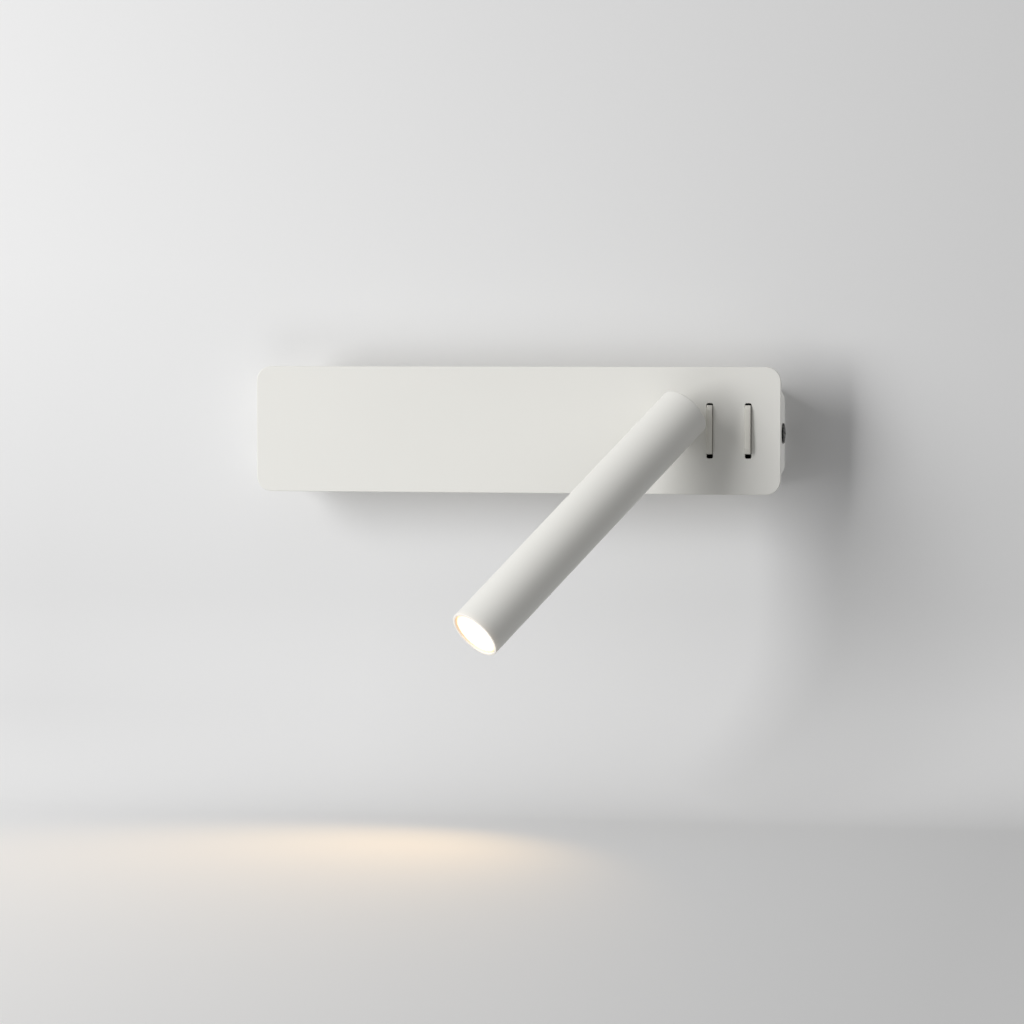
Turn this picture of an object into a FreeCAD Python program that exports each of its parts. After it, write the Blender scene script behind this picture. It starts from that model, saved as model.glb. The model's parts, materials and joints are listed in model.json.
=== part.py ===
import FreeCAD, Part
import math
import os
import types

import Sketcher

# Swivel wall light: a flat oblong front panel on a slim housing, a slotted tube lamp on a swivel and
# tilt joint near its right end, and two slim rocker switches beside it.
# Frame: millimetres, +Z up, the wall is the plane Y = 0 and the light stands out of it towards -Y.
# The origin is the centre of the wall bracket's back face.

# Driving sizes. Lengths are in millimetres and names ending in angle are in degrees.
SIZES = (
    # front panel
    ("panel_length", 320.0, "front panel, left to right"),
    ("panel_height", 76.0, "front panel, bottom to top"),
    ("panel_thickness", 3.0, "aluminium plate"),
    ("panel_corner", 9.0, "corner radius of the plate"),
    ("panel_edge", 0.4, "rounding of the plate's front edge"),
    ("panel_lift", 2.0, "plate centre above the housing centre"),
    ("body_depth", 35.0, "wall to the plate's front face"),
    ("stud_radius", 1.5, "weld stud behind the plate"),
    ("stud_inset", 10.0, "outer studs, inside the plate's ends"),
    ("stud_rise", 20.0, "studs above and below the plate's centre"),
    ("stud_nut_across", 5.5, "stud nut across flats"),
    ("stud_nut_height", 2.4, "stud nut height"),
    # rear housing
    ("end_inset", 1.5, "housing end inside the plate's end"),
    ("housing_height", 58.0, "housing, bottom to top"),
    ("housing_corner", 10.0, "outer corner radius of the housing"),
    ("housing_wall", 1.5, "sheet thickness of the housing"),
    ("wall_gap", 0.5, "housing rim in front of the wall"),
    ("lead_hole_radius", 2.0, "hole for the backlight leads"),
    # wall bracket
    ("bracket_height", 44.0, "bracket plate, bottom to top"),
    ("bracket_thickness", 1.5, "steel sheet"),
    ("bracket_corner", 8.0, "corner radius of the bracket plate"),
    ("bracket_play", 0.3, "between the bracket's ends and the housing"),
    ("flange_height", 27.0, "upturned end of the bracket"),
    ("flange_depth", 19.0, "upturned end, out from the wall"),
    ("wall_slot_span", 200.0, "wall screw slots, centre to centre"),
    ("box_slot_span", 60.0, "wiring box screw slots, centre to centre"),
    ("screw_slot_length", 11.0, "screw slot, end to end"),
    ("screw_slot_width", 4.6, "screw slot width"),
    ("cable_hole_radius", 7.0, "cable hole in the bracket"),
    # side screws and their clinch nuts
    ("side_screw_depth", 11.0, "side screw centre, out from the wall"),
    ("side_head_radius", 6.1, "side screw head"),
    ("side_head_height", 1.3, "side screw head"),
    ("side_shank_radius", 2.45, "side screw thread"),
    ("side_shank_length", 9.0, "side screw below its head"),
    ("side_recess_width", 1.3, "arm of the cross recess"),
    ("side_recess_span", 6.4, "cross recess, tip to tip"),
    ("side_recess_depth", 0.9, "cross recess"),
    ("clinch_radius", 4.5, "clinch nut body"),
    ("clinch_height", 4.0, "clinch nut body"),
    ("screw_play", 0.05, "radial play of a screw in its thread or bore"),
    # cable grommet
    ("grommet_flange_radius", 9.0, "grommet flange"),
    ("grommet_flange_height", 2.0, "grommet flange"),
    ("cable_radius", 4.5, "bore for the supply cable"),
    # terminal block and earth screw
    ("terminal_setback", 31.0, "terminal block, left of the swivel"),
    ("terminal_rise", 13.0, "terminal block above the bracket's centre"),
    ("terminal_length", 30.0, "terminal block, left to right"),
    ("terminal_width", 17.0, "terminal block, bottom to top"),
    ("terminal_depth", 13.0, "terminal block, out from the bracket"),
    ("terminal_pitch", 9.0, "one pole to the next"),
    ("terminal_wire_radius", 1.7, "wire hole through a pole"),
    ("terminal_wire_depth", 4.5, "wire hole centre, out from the bracket"),
    ("terminal_well_radius", 2.0, "screw well"),
    ("terminal_well_depth", 5.0, "screw well"),
    ("terminal_row_rise", 4.6, "screw wells above and below the block's centre"),
    ("terminal_screw_height", 3.2, "screw in its well"),
    ("earth_offset", 64.0, "earth screw, left of the centre"),
    ("earth_thread_radius", 1.95, "earth screw thread"),
    ("earth_head_radius", 3.8, "earth screw head"),
    ("earth_head_height", 2.4, "earth screw head"),
    ("earth_washer_radius", 4.6, "earth washer"),
    ("earth_washer_height", 0.8, "earth washer"),
    ("earth_slot_width", 1.0, "driver slot in the earth screw"),
    ("earth_slot_depth", 1.1, "driver slot in the earth screw"),
    # LED driver
    ("driver_offset", 72.0, "driver centre, left of the centre"),
    ("driver_length", 88.0, "driver case without its ears"),
    ("driver_width", 30.0, "driver case, bottom to top"),
    ("driver_depth", 19.0, "driver case, off the housing web"),
    ("driver_edge", 1.5, "rounding of the driver case"),
    ("ear_length", 9.0, "fixing ear beyond the driver case"),
    ("ear_width", 12.0, "fixing ear"),
    ("ear_thickness", 3.0, "fixing ear"),
    ("driver_thread_radius", 1.45, "driver screw thread"),
    ("driver_head_radius", 2.8, "driver screw head"),
    ("driver_head_height", 2.0, "driver screw head"),
    # backlight above and below the housing
    ("strip_length", 280.0, "backlight board"),
    ("strip_width", 7.0, "backlight board"),
    ("strip_thickness", 1.0, "backlight board"),
    ("strip_depth", 18.0, "backlight centre line, out from the wall"),
    ("chip_side", 2.8, "backlight LED"),
    ("chip_height", 0.8, "backlight LED"),
    ("chip_pitch", 20.0, "backlight LED spacing"),
    ("diffuser_width", 11.0, "diffuser channel"),
    ("diffuser_height", 5.0, "diffuser channel, off the housing"),
    ("diffuser_wall", 1.2, "diffuser channel wall"),
    # rocker switches
    ("slot_length", 33.0, "rocker slot in the plate"),
    ("slot_width", 4.0, "rocker slot in the plate"),
    ("slot_corner", 1.0, "corner radius of the rocker slot"),
    ("slot_inset", 19.5, "right slot centre, in from the plate's right end"),
    ("slot_pitch", 23.0, "one rocker slot to the next"),
    ("window_play", 0.6, "housing window beyond the slot, each side"),
    ("blade_length", 29.0, "rocker blade, bottom to top"),
    ("blade_width", 3.4, "rocker blade"),
    ("blade_height", 3.1, "blade beyond the plate at mid travel"),
    ("blade_bevel_length", 3.0, "sloped end of the blade"),
    ("blade_bevel_drop", 1.1, "sloped end of the blade"),
    ("blade_edge", 0.45, "rounding along the blade"),
    ("rocker_pivot_depth", 8.4, "rocker pivot behind the plate's front face"),
    ("rocker_skirt", 1.5, "blade behind the housing web, up to its taper"),
    ("rocker_hub_radius", 2.5, "rocker round its pivot"),
    ("rocker_foot", 6.0, "foot tip behind the pivot"),
    ("rocker_foot_radius", 0.9, "foot tip"),
    ("rocker_swing_angle", 9.4, "rocker travel, on to off"),
    ("trunnion_radius", 1.2, "rocker axle"),
    ("trunnion_length", 8.8, "rocker axle"),
    ("trunnion_play", 0.05, "radial play of the rocker axle"),
    ("switch_width", 10.0, "switch body, left to right"),
    ("switch_height", 40.0, "switch body, bottom to top"),
    ("switch_depth", 16.0, "switch body, off the housing web"),
    ("cavity_width", 4.6, "switch body hollow"),
    ("cavity_height", 35.0, "switch body hollow"),
    ("cavity_floor", 2.5, "switch body rear wall"),
    ("lever_length", 15.0, "see-saw contact"),
    ("lever_width", 3.0, "see-saw contact"),
    ("lever_thickness", 0.6, "see-saw contact"),
    ("lever_swing_angle", 8.0, "see-saw contact travel"),
    ("lever_gap", 0.3, "rocker foot to the see-saw contact"),
    ("tag_width", 2.8, "switch terminal"),
    ("tag_thickness", 0.8, "switch terminal"),
    ("tag_reach", 6.0, "terminal behind the switch body"),
    ("tag_pitch", 6.0, "centre terminal to an outer one"),
    ("tag_gap", 0.15, "see-saw contact to the terminal under it"),
    # swivel joint in the panel
    ("swivel_inset", 65.0, "swivel centre, in from the plate's right end"),
    ("pivot_height", 28.0, "tilt pin in front of the plate"),
    ("collar_radius", 9.0, "flange of the swivel collar"),
    ("collar_height", 1.5, "flange of the swivel collar"),
    ("collar_edge", 0.4, "bevel of the collar and stem flanges"),
    ("barrel_radius", 6.5, "threaded barrel of the collar"),
    ("barrel_play", 0.1, "round the barrel in plate and web"),
    ("barrel_tail", 3.5, "barrel behind the housing web"),
    ("collar_nut_across", 17.0, "collar nut across flats"),
    ("collar_nut_height", 3.0, "collar nut"),
    ("spindle_radius", 5.0, "hollow swivel spindle"),
    ("running_play", 0.05, "radial play of a turning shaft"),
    ("spindle_bore_radius", 1.9, "lead way through the spindle"),
    ("spindle_tail", 13.0, "spindle behind the collar barrel"),
    ("face_gap", 0.1, "between stacked faces"),
    ("slide_washer_radius", 8.0, "slide washer"),
    ("slide_washer_height", 0.6, "slide washer"),
    ("spring_radius", 8.0, "disc spring"),
    ("spring_thickness", 0.6, "disc spring"),
    ("spring_cone", 0.6, "rise of the disc spring"),
    ("stop_disc_radius", 8.0, "stop washer"),
    ("stop_disc_height", 1.2, "stop washer"),
    ("stop_finger_width", 2.6, "finger of the stop washer"),
    ("stop_finger_reach", 13.2, "finger tip from the swivel axis"),
    ("stop_pin_radius", 1.0, "stop pin"),
    ("stop_pin_orbit", 12.0, "stop pin from the swivel axis"),
    ("lock_nut_across", 14.0, "lock nut across flats"),
    ("lock_nut_height", 3.5, "lock nut"),
    # stem between the swivel and the tube
    ("stem_flange_radius", 6.5, "stem flange on the collar"),
    ("stem_flange_height", 1.1, "stem flange on the collar"),
    ("neck_width", 10.0, "stem neck, in the plane of tilt"),
    ("neck_thickness", 8.0, "stem neck, along the tilt pin"),
    ("eye_radius", 6.2, "stem eye round the tilt pin"),
    ("lead_exit_height", 12.0, "side hole for the lead, from the tilt pin"),
    ("lead_exit_radius", 2.0, "side hole for the lead"),
    # lamp tube and its rear yoke
    ("tube_radius", 16.0, "outside of the lamp tube"),
    ("tube_wall", 1.5, "wall of the lamp tube"),
    ("head_reach", 179.0, "tilt pin to the tube's front end"),
    ("head_tail", 19.0, "tilt pin to the tube's rear end"),
    ("tube_edge", 0.35, "bevel of the tube's front edge"),
    ("tube_rear_edge", 1.0, "rounding of the tube's rear edge"),
    ("insert_play", 0.1, "radial play of what slides into the tube"),
    ("plug_length", 5.0, "yoke's full round behind the cheeks"),
    ("cheek_start", 8.0, "cheeks in front of the tilt pin"),
    ("cheek_outer", 9.5, "outer face of a cheek from the centre"),
    ("slot_side_play", 0.6, "tilt slot beyond the neck, each side"),
    ("slot_end_play", 1.3, "tilt slot beyond the neck at a tilt stop"),
    ("tilt_pin_radius", 2.5, "tilt pin"),
    ("tilt_head_radius", 4.5, "head of the tilt pin"),
    ("tilt_head_height", 2.5, "head of the tilt pin"),
    ("tilt_nut_across", 8.0, "tilt nut across flats"),
    ("tilt_nut_height", 2.8, "tilt nut"),
    ("friction_radius", 6.0, "friction washer"),
    ("friction_height", 0.7, "friction washer"),
    ("set_screw_radius", 1.5, "tube set screw"),
    ("set_screw_length", 7.0, "tube set screw"),
    ("set_screw_rise", 7.2, "tube set screw beside the slot"),
    ("set_screw_start", 6.0, "tube set screw behind the tilt pin"),
    # light engine in the tube's front end
    ("lens_recess", 0.4, "lens behind the tube's front edge"),
    ("lens_radius", 14.1, "front lens"),
    ("lens_thickness", 2.5, "front lens"),
    ("lens_edge", 0.3, "bevel of the lens"),
    ("holder_length", 19.0, "optic holder"),
    ("holder_wall", 1.1, "optic holder"),
    ("reflector_wall", 0.8, "reflector"),
    ("reflector_mouth", 12.4, "reflector at its wide end, inside"),
    ("reflector_throat", 4.6, "reflector at the LED, inside"),
    ("reflector_gap", 0.2, "reflector to the parts at its ends"),
    ("led_radius", 4.0, "spot LED"),
    ("led_height", 0.9, "spot LED"),
    ("led_board_radius", 12.6, "spot LED board"),
    ("led_board_thickness", 1.6, "spot LED board"),
    ("board_screw_orbit", 9.4, "board screws from the axis"),
    ("board_thread_radius", 1.2, "board screw thread"),
    ("board_thread_length", 7.0, "board screw thread"),
    ("board_head_radius", 2.1, "board screw head"),
    ("board_head_height", 1.4, "board screw head"),
    ("sink_length", 36.0, "heat sink"),
    ("sink_base", 9.0, "solid end of the heat sink"),
    ("sink_core_radius", 6.5, "core between the fins"),
    ("sink_slot_width", 2.6, "space between two fins"),
    ("lead_way_radius", 1.8, "lead way through the heat sink"),
    # leads
    ("lead_radius", 1.6, "sheathed two-core lead"),
    ("lead_tip", 0.2, "straight end of the driver's lead at the swivel"),
    ("lead_start_drop", 10.5, "driver lead where it leaves the driver, behind the housing's web"),
    ("lead_run_depth", 4.0, "driver lead beside the swivel, out from the wall"),
    ("lead_low_reach", 70.0, "end of the driver lead's first run, left of the swivel"),
    ("lead_high_reach", 35.0, "start of the driver lead's last run, left of the swivel"),
    ("lead_end_gap", 3.0, "lead end from the eye of the stem"),
    # rest pose and cuts
    ("pan_angle", 50.0, "tube below the horizontal, to the left"),
    ("tilt_angle", 34.4, "tube out of the plate's plane"),
    ("overrun", 1.0, "a cut beyond what it cuts"),
)
CHIP_COUNT = 14
FIN_SLOT_COUNT = 10
POLE_COUNT = 3
HEX_SHARE = 0.5 / math.cos(math.radians(30.0))


def text_of(term):
    return term.text if isinstance(term, Size) else repr(term)


def value_of(term):
    return term.value if isinstance(term, Size) else term


class Size:
    """A named size or a sum of them, held as its number and as the sheet expression that gives it."""

    def __init__(self, value, text):
        self.value = value
        self.text = text

    def __add__(self, other):
        return Size(self.value + value_of(other), "(%s + %s)" % (self.text, text_of(other)))

    def __sub__(self, other):
        return Size(self.value - value_of(other), "(%s - %s)" % (self.text, text_of(other)))

    def __mul__(self, share):
        return Size(self.value * value_of(share), "(%s * %s)" % (self.text, text_of(share)))

    def __truediv__(self, share):
        return Size(self.value / value_of(share), "(%s / %s)" % (self.text, text_of(share)))

    def __neg__(self):
        return Size(-self.value, "(-1 * %s)" % self.text)


doc = FreeCAD.newDocument("swivel_wall_light")
sheet = doc.addObject("Spreadsheet::Sheet", "sizes")
for row, (alias, number, note) in enumerate(SIZES, 1):
    sheet.set("A%d" % row, alias)
    sheet.set("B%d" % row, str(number))
    sheet.set("C%d" % row, note)
    sheet.setAlias("B%d" % row, alias)
doc.recompute()
S = types.SimpleNamespace(**{alias: Size(number, "sizes." + alias) for alias, number, note in SIZES})
ZERO = Size(0.0, "0")

# Places worked out from the driving sizes
panel_back = S.body_depth - S.panel_thickness
web_back = panel_back - S.housing_wall
housing_length = S.panel_length - S.end_inset * 2
housing_end = housing_length / 2
housing_depth = panel_back - S.wall_gap
bracket_end = housing_end - S.housing_wall - S.bracket_play
switch_places = (S.panel_length / 2 - S.slot_inset - S.slot_pitch, S.panel_length / 2 - S.slot_inset)
swivel_place = S.panel_length / 2 - S.swivel_inset
terminal_place = swivel_place - S.terminal_setback
pivot_depth = S.body_depth + S.pivot_height
rocker_axis_depth = S.body_depth - S.rocker_pivot_depth
barrel_end = web_back - S.barrel_tail
collar_front = S.pivot_height - S.collar_height
tube_bore = S.tube_radius - S.tube_wall
insert_radius = tube_bore - S.insert_play
slot_half = S.neck_thickness / 2 + S.slot_side_play
slot_stop = S.neck_width / 2 + S.slot_end_play
friction_face = S.neck_thickness / 2 + S.face_gap
cheek_inner = friction_face + S.friction_height + S.face_gap
lens_front = S.head_reach - S.lens_recess
lens_back = lens_front - S.lens_thickness
board_front = lens_back - S.holder_length
board_back = board_front - S.led_board_thickness
sink_back = board_back - S.sink_length

# Frames: the fixed body, the stem that swivels and the head that also tilts, each at the tilt pin
PIVOT_TEXT = "vector(%s; %s; %s)" % (swivel_place.text, (-pivot_depth).text, S.panel_lift.text)
PAN_TEXT = "rotation(vector(0; 1; 0); -1 * %s)" % S.pan_angle.text
TILT_TEXT = "rotation(vector(0; 0; 1); %s)" % S.tilt_angle.text
FIXED = "placement(vector(0; 0; 0); rotation(vector(0; 0; 1); 0))"
STEM = "placement(%s; %s)" % (PIVOT_TEXT, PAN_TEXT)
HEAD = "placement(%s; %s * %s)" % (PIVOT_TEXT, PAN_TEXT, TILT_TEXT)
AXIS_TURNS = {"x": "rotation(vector(0; 1; 0); 90)", "y": "rotation(vector(1; 0; 0); -90)",
              "z": "rotation(vector(0; 0; 1); 0)"}
nodes = []


def frame_at(x, y, z, turn="rotation(vector(0; 0; 1); 0)"):
    """The expression of a frame at x, y, z."""
    return "placement(vector(%s; %s; %s); %s)" % (text_of(x), text_of(y), text_of(z), turn)


def bind(thing, **sizes):
    """Tie each property to the expression of its size."""
    for name, size in sizes.items():
        thing.setExpression(name, text_of(size))


def keep(thing, label, frame=None):
    """Take a finished piece as the node of that name, in its frame."""
    thing.Label = label
    if frame is not None:
        thing.setExpression("Placement", frame)
    nodes.append(thing)
    return thing


# Part primitives

def cylinder(name, radius, length, axis="z", at=(ZERO, ZERO, ZERO)):
    """A cylinder from the point at, along the axis."""
    thing = doc.addObject("Part::Cylinder", name)
    bind(thing, Radius=radius, Height=length)
    thing.setExpression("Placement", frame_at(*at, AXIS_TURNS[axis]))
    return thing


def hexagon(name, across, length, axis, at):
    """A hexagonal prism from the point at, along the axis."""
    thing = doc.addObject("Part::Prism", name)
    thing.Polygon = 6
    bind(thing, Circumradius=across * HEX_SHARE, Height=length)
    thing.setExpression("Placement", frame_at(*at, AXIS_TURNS[axis]))
    return thing


def block(name, size, at):
    """A box of that size whose middle is at the point."""
    thing = doc.addObject("Part::Box", name)
    bind(thing, Length=size[0], Width=size[1], Height=size[2])
    corner = [place - side / 2 for place, side in zip(at, size)]
    thing.setExpression("Placement", frame_at(*corner))
    return thing


def joined(name, things):
    """The solids fused to one."""
    thing = doc.addObject("Part::MultiFuse", name)
    thing.Shapes = things
    return thing


def group(name, things):
    """Separate solids kept together."""
    thing = doc.addObject("Part::Compound", name)
    thing.Links = things
    return thing


def less(name, base, tools):
    """The base with every tool cut away."""
    thing = doc.addObject("Part::Cut", name)
    thing.Base = base
    thing.Tool = tools[0] if len(tools) == 1 else group(name + "_tools", tools)
    return thing


def ring(name, outer, inner, length, axis, at):
    """A flat ring or bush from the point at, along the axis."""
    step = {"x": 0, "y": 1, "z": 2}[axis]
    below = list(at)
    below[step] = at[step] - S.overrun
    hole = cylinder(name + "_hole", inner, length + S.overrun * 2, axis, below)
    return less(name, cylinder(name + "_disc", outer, length, axis, at), [hole])


def nut(name, across, inner, length, axis, at):
    """A hexagonal nut with a plain bore."""
    step = {"x": 0, "y": 1, "z": 2}[axis]
    below = list(at)
    below[step] = at[step] - S.overrun
    hole = cylinder(name + "_hole", inner, length + S.overrun * 2, axis, below)
    return less(name, hexagon(name + "_hex", across, length, axis, at), [hole])


# Bodies with sketches and features

def new_body(label, frame):
    body = doc.addObject("PartDesign::Body", label)
    return keep(body, label, frame)


def sketch(body, name, plane, loops, level=ZERO):
    """A sketch of closed loops on one of the body's own planes, raised by level along its normal.

    A loop is a tuple of corners, ("circle", centre, radius) or ("slot", centre, length, width).
    """
    drawing = body.newObject("Sketcher::SketchObject", body.Label + "_" + name)
    face = [feature for feature in body.Origin.OriginFeatures if feature.Role == plane][0]
    drawing.AttachmentSupport = [(face, "")]
    drawing.MapMode = "FlatFace"
    bind(drawing, **{"AttachmentOffset.Base.z": level})
    for loop in loops:
        if loop[0] == "circle":
            draw_circle(drawing, loop[1], loop[2])
        elif loop[0] == "slot":
            draw_slot(drawing, loop[1], loop[2], loop[3])
        else:
            draw_polygon(drawing, loop)
    return drawing


def held(drawing, kind, geometry, point, size, name):
    """One dimension of a sketch, tied to its size."""
    if kind == "Radius":
        index = drawing.addConstraint(Sketcher.Constraint(kind, geometry, value_of(size)))
    else:
        index = drawing.addConstraint(Sketcher.Constraint(kind, geometry, point, value_of(size)))
    drawing.renameConstraint(index, name)
    drawing.setExpression("Constraints." + name, text_of(size))


def place_point(drawing, geometry, point, spot):
    name = "g%dp%d" % (geometry, point)
    held(drawing, "DistanceX", geometry, point, spot[0], name + "u")
    held(drawing, "DistanceY", geometry, point, spot[1], name + "v")


def flat_point(spot):
    return FreeCAD.Vector(value_of(spot[0]), value_of(spot[1]), 0)


def draw_polygon(drawing, corners):
    first = drawing.GeometryCount
    for index, corner in enumerate(corners):
        end = corners[(index + 1) % len(corners)]
        drawing.addGeometry(Part.LineSegment(flat_point(corner), flat_point(end)), False)
    for index, corner in enumerate(corners):
        after = first + (index + 1) % len(corners)
        drawing.addConstraint(Sketcher.Constraint("Coincident", first + index, 2, after, 1))
        place_point(drawing, first + index, 1, corner)


def draw_circle(drawing, centre, radius):
    normal = FreeCAD.Vector(0, 0, 1)
    index = drawing.addGeometry(Part.Circle(flat_point(centre), normal, value_of(radius)), False)
    place_point(drawing, index, 3, centre)
    held(drawing, "Radius", index, 0, radius, "g%dr" % index)


def draw_slot(drawing, centre, length, width):
    """A slot with round ends, along the sketch's first axis."""
    reach = (length - width) / 2
    radius = width / 2
    left, right = (centre[0] - reach, centre[1]), (centre[0] + reach, centre[1])
    up = FreeCAD.Vector(0, value_of(radius), 0)
    first = drawing.GeometryCount
    for spot, start in ((left, math.pi / 2), (right, -math.pi / 2)):
        arc = Part.Circle(flat_point(spot), FreeCAD.Vector(0, 0, 1), value_of(radius))
        drawing.addGeometry(Part.ArcOfCircle(arc, start, start + math.pi), False)
    drawing.addGeometry(Part.LineSegment(flat_point(left) - up, flat_point(right) - up), False)
    drawing.addGeometry(Part.LineSegment(flat_point(right) + up, flat_point(left) + up), False)
    for arc, arc_end, line, line_end in ((0, 2, 2, 1), (2, 2, 1, 1), (1, 2, 3, 1), (3, 2, 0, 1)):
        drawing.addConstraint(
            Sketcher.Constraint("Tangent", first + arc, arc_end, first + line, line_end))
    place_point(drawing, first, 3, left)
    place_point(drawing, first + 1, 3, right)
    held(drawing, "Radius", first, 0, radius, "g%dr" % first)


def feature(body, kind, name, profile, length=None, **settings):
    """A pad or pocket of a sketch. Without a length it runs through everything, both ways."""
    thing = body.newObject("PartDesign::" + kind, body.Label + "_" + name)
    thing.Profile = profile
    if length is None:
        thing.Type = "ThroughAll"
        thing.Midplane = True
    else:
        bind(thing, Length=length)
    for setting, value in settings.items():
        setattr(thing, setting, value)
    profile.Visibility = False
    doc.recompute()
    return thing


def pad(body, name, plane, loops, length, level=ZERO, **settings):
    profile = sketch(body, name + "_sketch", plane, loops, level)
    return feature(body, "Pad", name, profile, length, **settings)


def pocket(body, name, plane, loops, length=None, level=ZERO, **settings):
    before = body.Shape.Volume
    profile = sketch(body, name + "_sketch", plane, loops, level)
    thing = feature(body, "Pocket", name, profile, length, **settings)
    if not body.Shape.Volume < before:
        raise RuntimeError(body.Label + ": " + name + " cuts nothing")
    return thing


def turned(label, frame, corners, axis="x"):
    """A turned body. Corners are (along, radius) for axis x and (radius, along) for axis y."""
    body = new_body(label, frame)
    profile = sketch(body, "profile", "XY_Plane", [corners])
    thing = body.newObject("PartDesign::Revolution", label + "_turning")
    thing.Profile = profile
    thing.ReferenceAxis = (profile, ["H_Axis" if axis == "x" else "V_Axis"])
    thing.Angle = 360
    profile.Visibility = False
    doc.recompute()
    return body


def rounded(body, name, radius, wanted):
    """Round the edges of the body for which wanted(edge) holds."""
    base = body.Tip
    names = ["Edge%d" % (index + 1) for index, edge in enumerate(base.Shape.Edges) if wanted(edge)]
    if not names:
        raise RuntimeError(body.Label + ": no edge for " + name)
    thing = body.newObject("PartDesign::Fillet", body.Label + "_" + name)
    thing.Base = (base, names)
    bind(thing, Radius=radius)
    doc.recompute()
    return thing


def along(edge, axis):
    """Whether a straight edge runs along the axis 0, 1 or 2 of its body."""
    if edge.Curve.TypeId != "Part::GeomLine":
        return False
    return abs(abs(edge.Curve.Direction[axis]) - 1) < 1e-6


def rectangle(width, height, centre=(ZERO, ZERO)):
    """The corners of a rectangle about its centre."""
    left, right = centre[0] - width / 2, centre[0] + width / 2
    low, high = centre[1] - height / 2, centre[1] + height / 2
    return ((left, low), (right, low), (right, high), (left, high))


# Front panel: the plate, its rocker slots and collar hole, and the weld studs behind it

def stud_spots():
    """The six weld studs, seen from the plate's centre."""
    outer = S.panel_length / 2 - S.stud_inset
    columns = (-outer, ZERO, outer)
    return [(x, z) for x in columns for z in (-S.stud_rise, S.stud_rise)]


def make_front_panel():
    body = new_body("front_panel", frame_at(ZERO, -panel_back, S.panel_lift))
    pad(body, "plate", "XZ_Plane", [rectangle(S.panel_length, S.panel_height)], S.panel_thickness)
    rounded(body, "corners", S.panel_corner, lambda edge: along(edge, 1))
    front = -S.panel_thickness.value
    rounded(body, "front_edge", S.panel_edge, lambda edge: abs(edge.CenterOfMass.y - front) < 1e-6
            and all(abs(vertex.Y - front) < 1e-6 for vertex in edge.Vertexes))
    slots = [rectangle(S.slot_width, S.slot_length, (x, ZERO)) for x in switch_places]
    pocket(body, "rocker_slots", "XZ_Plane", slots)
    reach = S.slot_length.value / 2 + 1e-3
    inner = switch_places[0].value - S.slot_width.value
    rounded(body, "slot_corners", S.slot_corner, lambda edge: along(edge, 1)
            and abs(edge.CenterOfMass.z) < reach and edge.CenterOfMass.x > inner)
    pocket(body, "collar_hole", "XZ_Plane",
           [("circle", (swivel_place, ZERO), S.barrel_radius + S.barrel_play)])
    studs = [("circle", spot, S.stud_radius) for spot in stud_spots()]
    length = S.housing_wall + S.stud_nut_height + S.stud_radius
    pad(body, "studs", "XZ_Plane", studs, length, Reversed=True)


def make_stud_nuts():
    nuts = []
    for index, (x, z) in enumerate(stud_spots()):
        spot = (x, -web_back, z + S.panel_lift)
        nuts.append(nut("stud_nut%d" % index, S.stud_nut_across, S.stud_radius + S.screw_play,
                        S.stud_nut_height, "y", spot))
    keep(group("stud_nuts_group", nuts), "stud_nuts")


# Rear housing: a shallow box, its web against the plate and its rim just off the wall

def make_rear_housing():
    body = new_body("rear_housing", frame_at(ZERO, -panel_back, ZERO))
    outline = rectangle(housing_length, S.housing_height)
    pad(body, "box", "XZ_Plane", [outline], housing_depth, Reversed=True)
    hollow = rectangle(housing_length - S.housing_wall * 2, S.housing_height - S.housing_wall * 2)
    pocket(body, "hollow", "XZ_Plane", [hollow], housing_depth - S.housing_wall, -housing_depth,
           Reversed=True)
    middle = housing_end.value - S.housing_wall.value / 2
    rounded(body, "inner_corners", S.housing_corner - S.housing_wall, lambda edge: along(edge, 1)
            and abs(edge.CenterOfMass.x) < middle)
    rounded(body, "corners", S.housing_corner, lambda edge: along(edge, 1)
            and abs(edge.CenterOfMass.x) > middle)
    windows = [rectangle(S.slot_width + S.window_play * 2, S.slot_length + S.window_play * 2,
                         (x, S.panel_lift)) for x in switch_places]
    pocket(body, "rocker_windows", "XZ_Plane", windows)
    holes = [("circle", (swivel_place, S.panel_lift), S.barrel_radius + S.barrel_play)]
    holes += [("circle", (x, z + S.panel_lift), S.stud_radius + S.screw_play) for x, z in stud_spots()]
    pin_place = swivel_place + S.stop_pin_orbit
    holes += [("circle", (pin_place, S.panel_lift), S.stop_pin_radius + S.screw_play)]
    holes += [("circle", (x, ZERO), S.driver_thread_radius + S.screw_play) for x in driver_screw_places()]
    pocket(body, "web_holes", "XZ_Plane", holes)
    side = (panel_back - S.side_screw_depth, ZERO)
    pocket(body, "side_holes", "YZ_Plane", [("circle", side, S.side_shank_radius + S.screw_play * 2)])
    lead = (ZERO, panel_back - S.strip_depth)
    pocket(body, "backlight_lead_holes", "XY_Plane", [("circle", lead, S.lead_hole_radius)])


# Wall bracket: the plate that is screwed to the wall, with an upturned flange at each end

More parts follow.
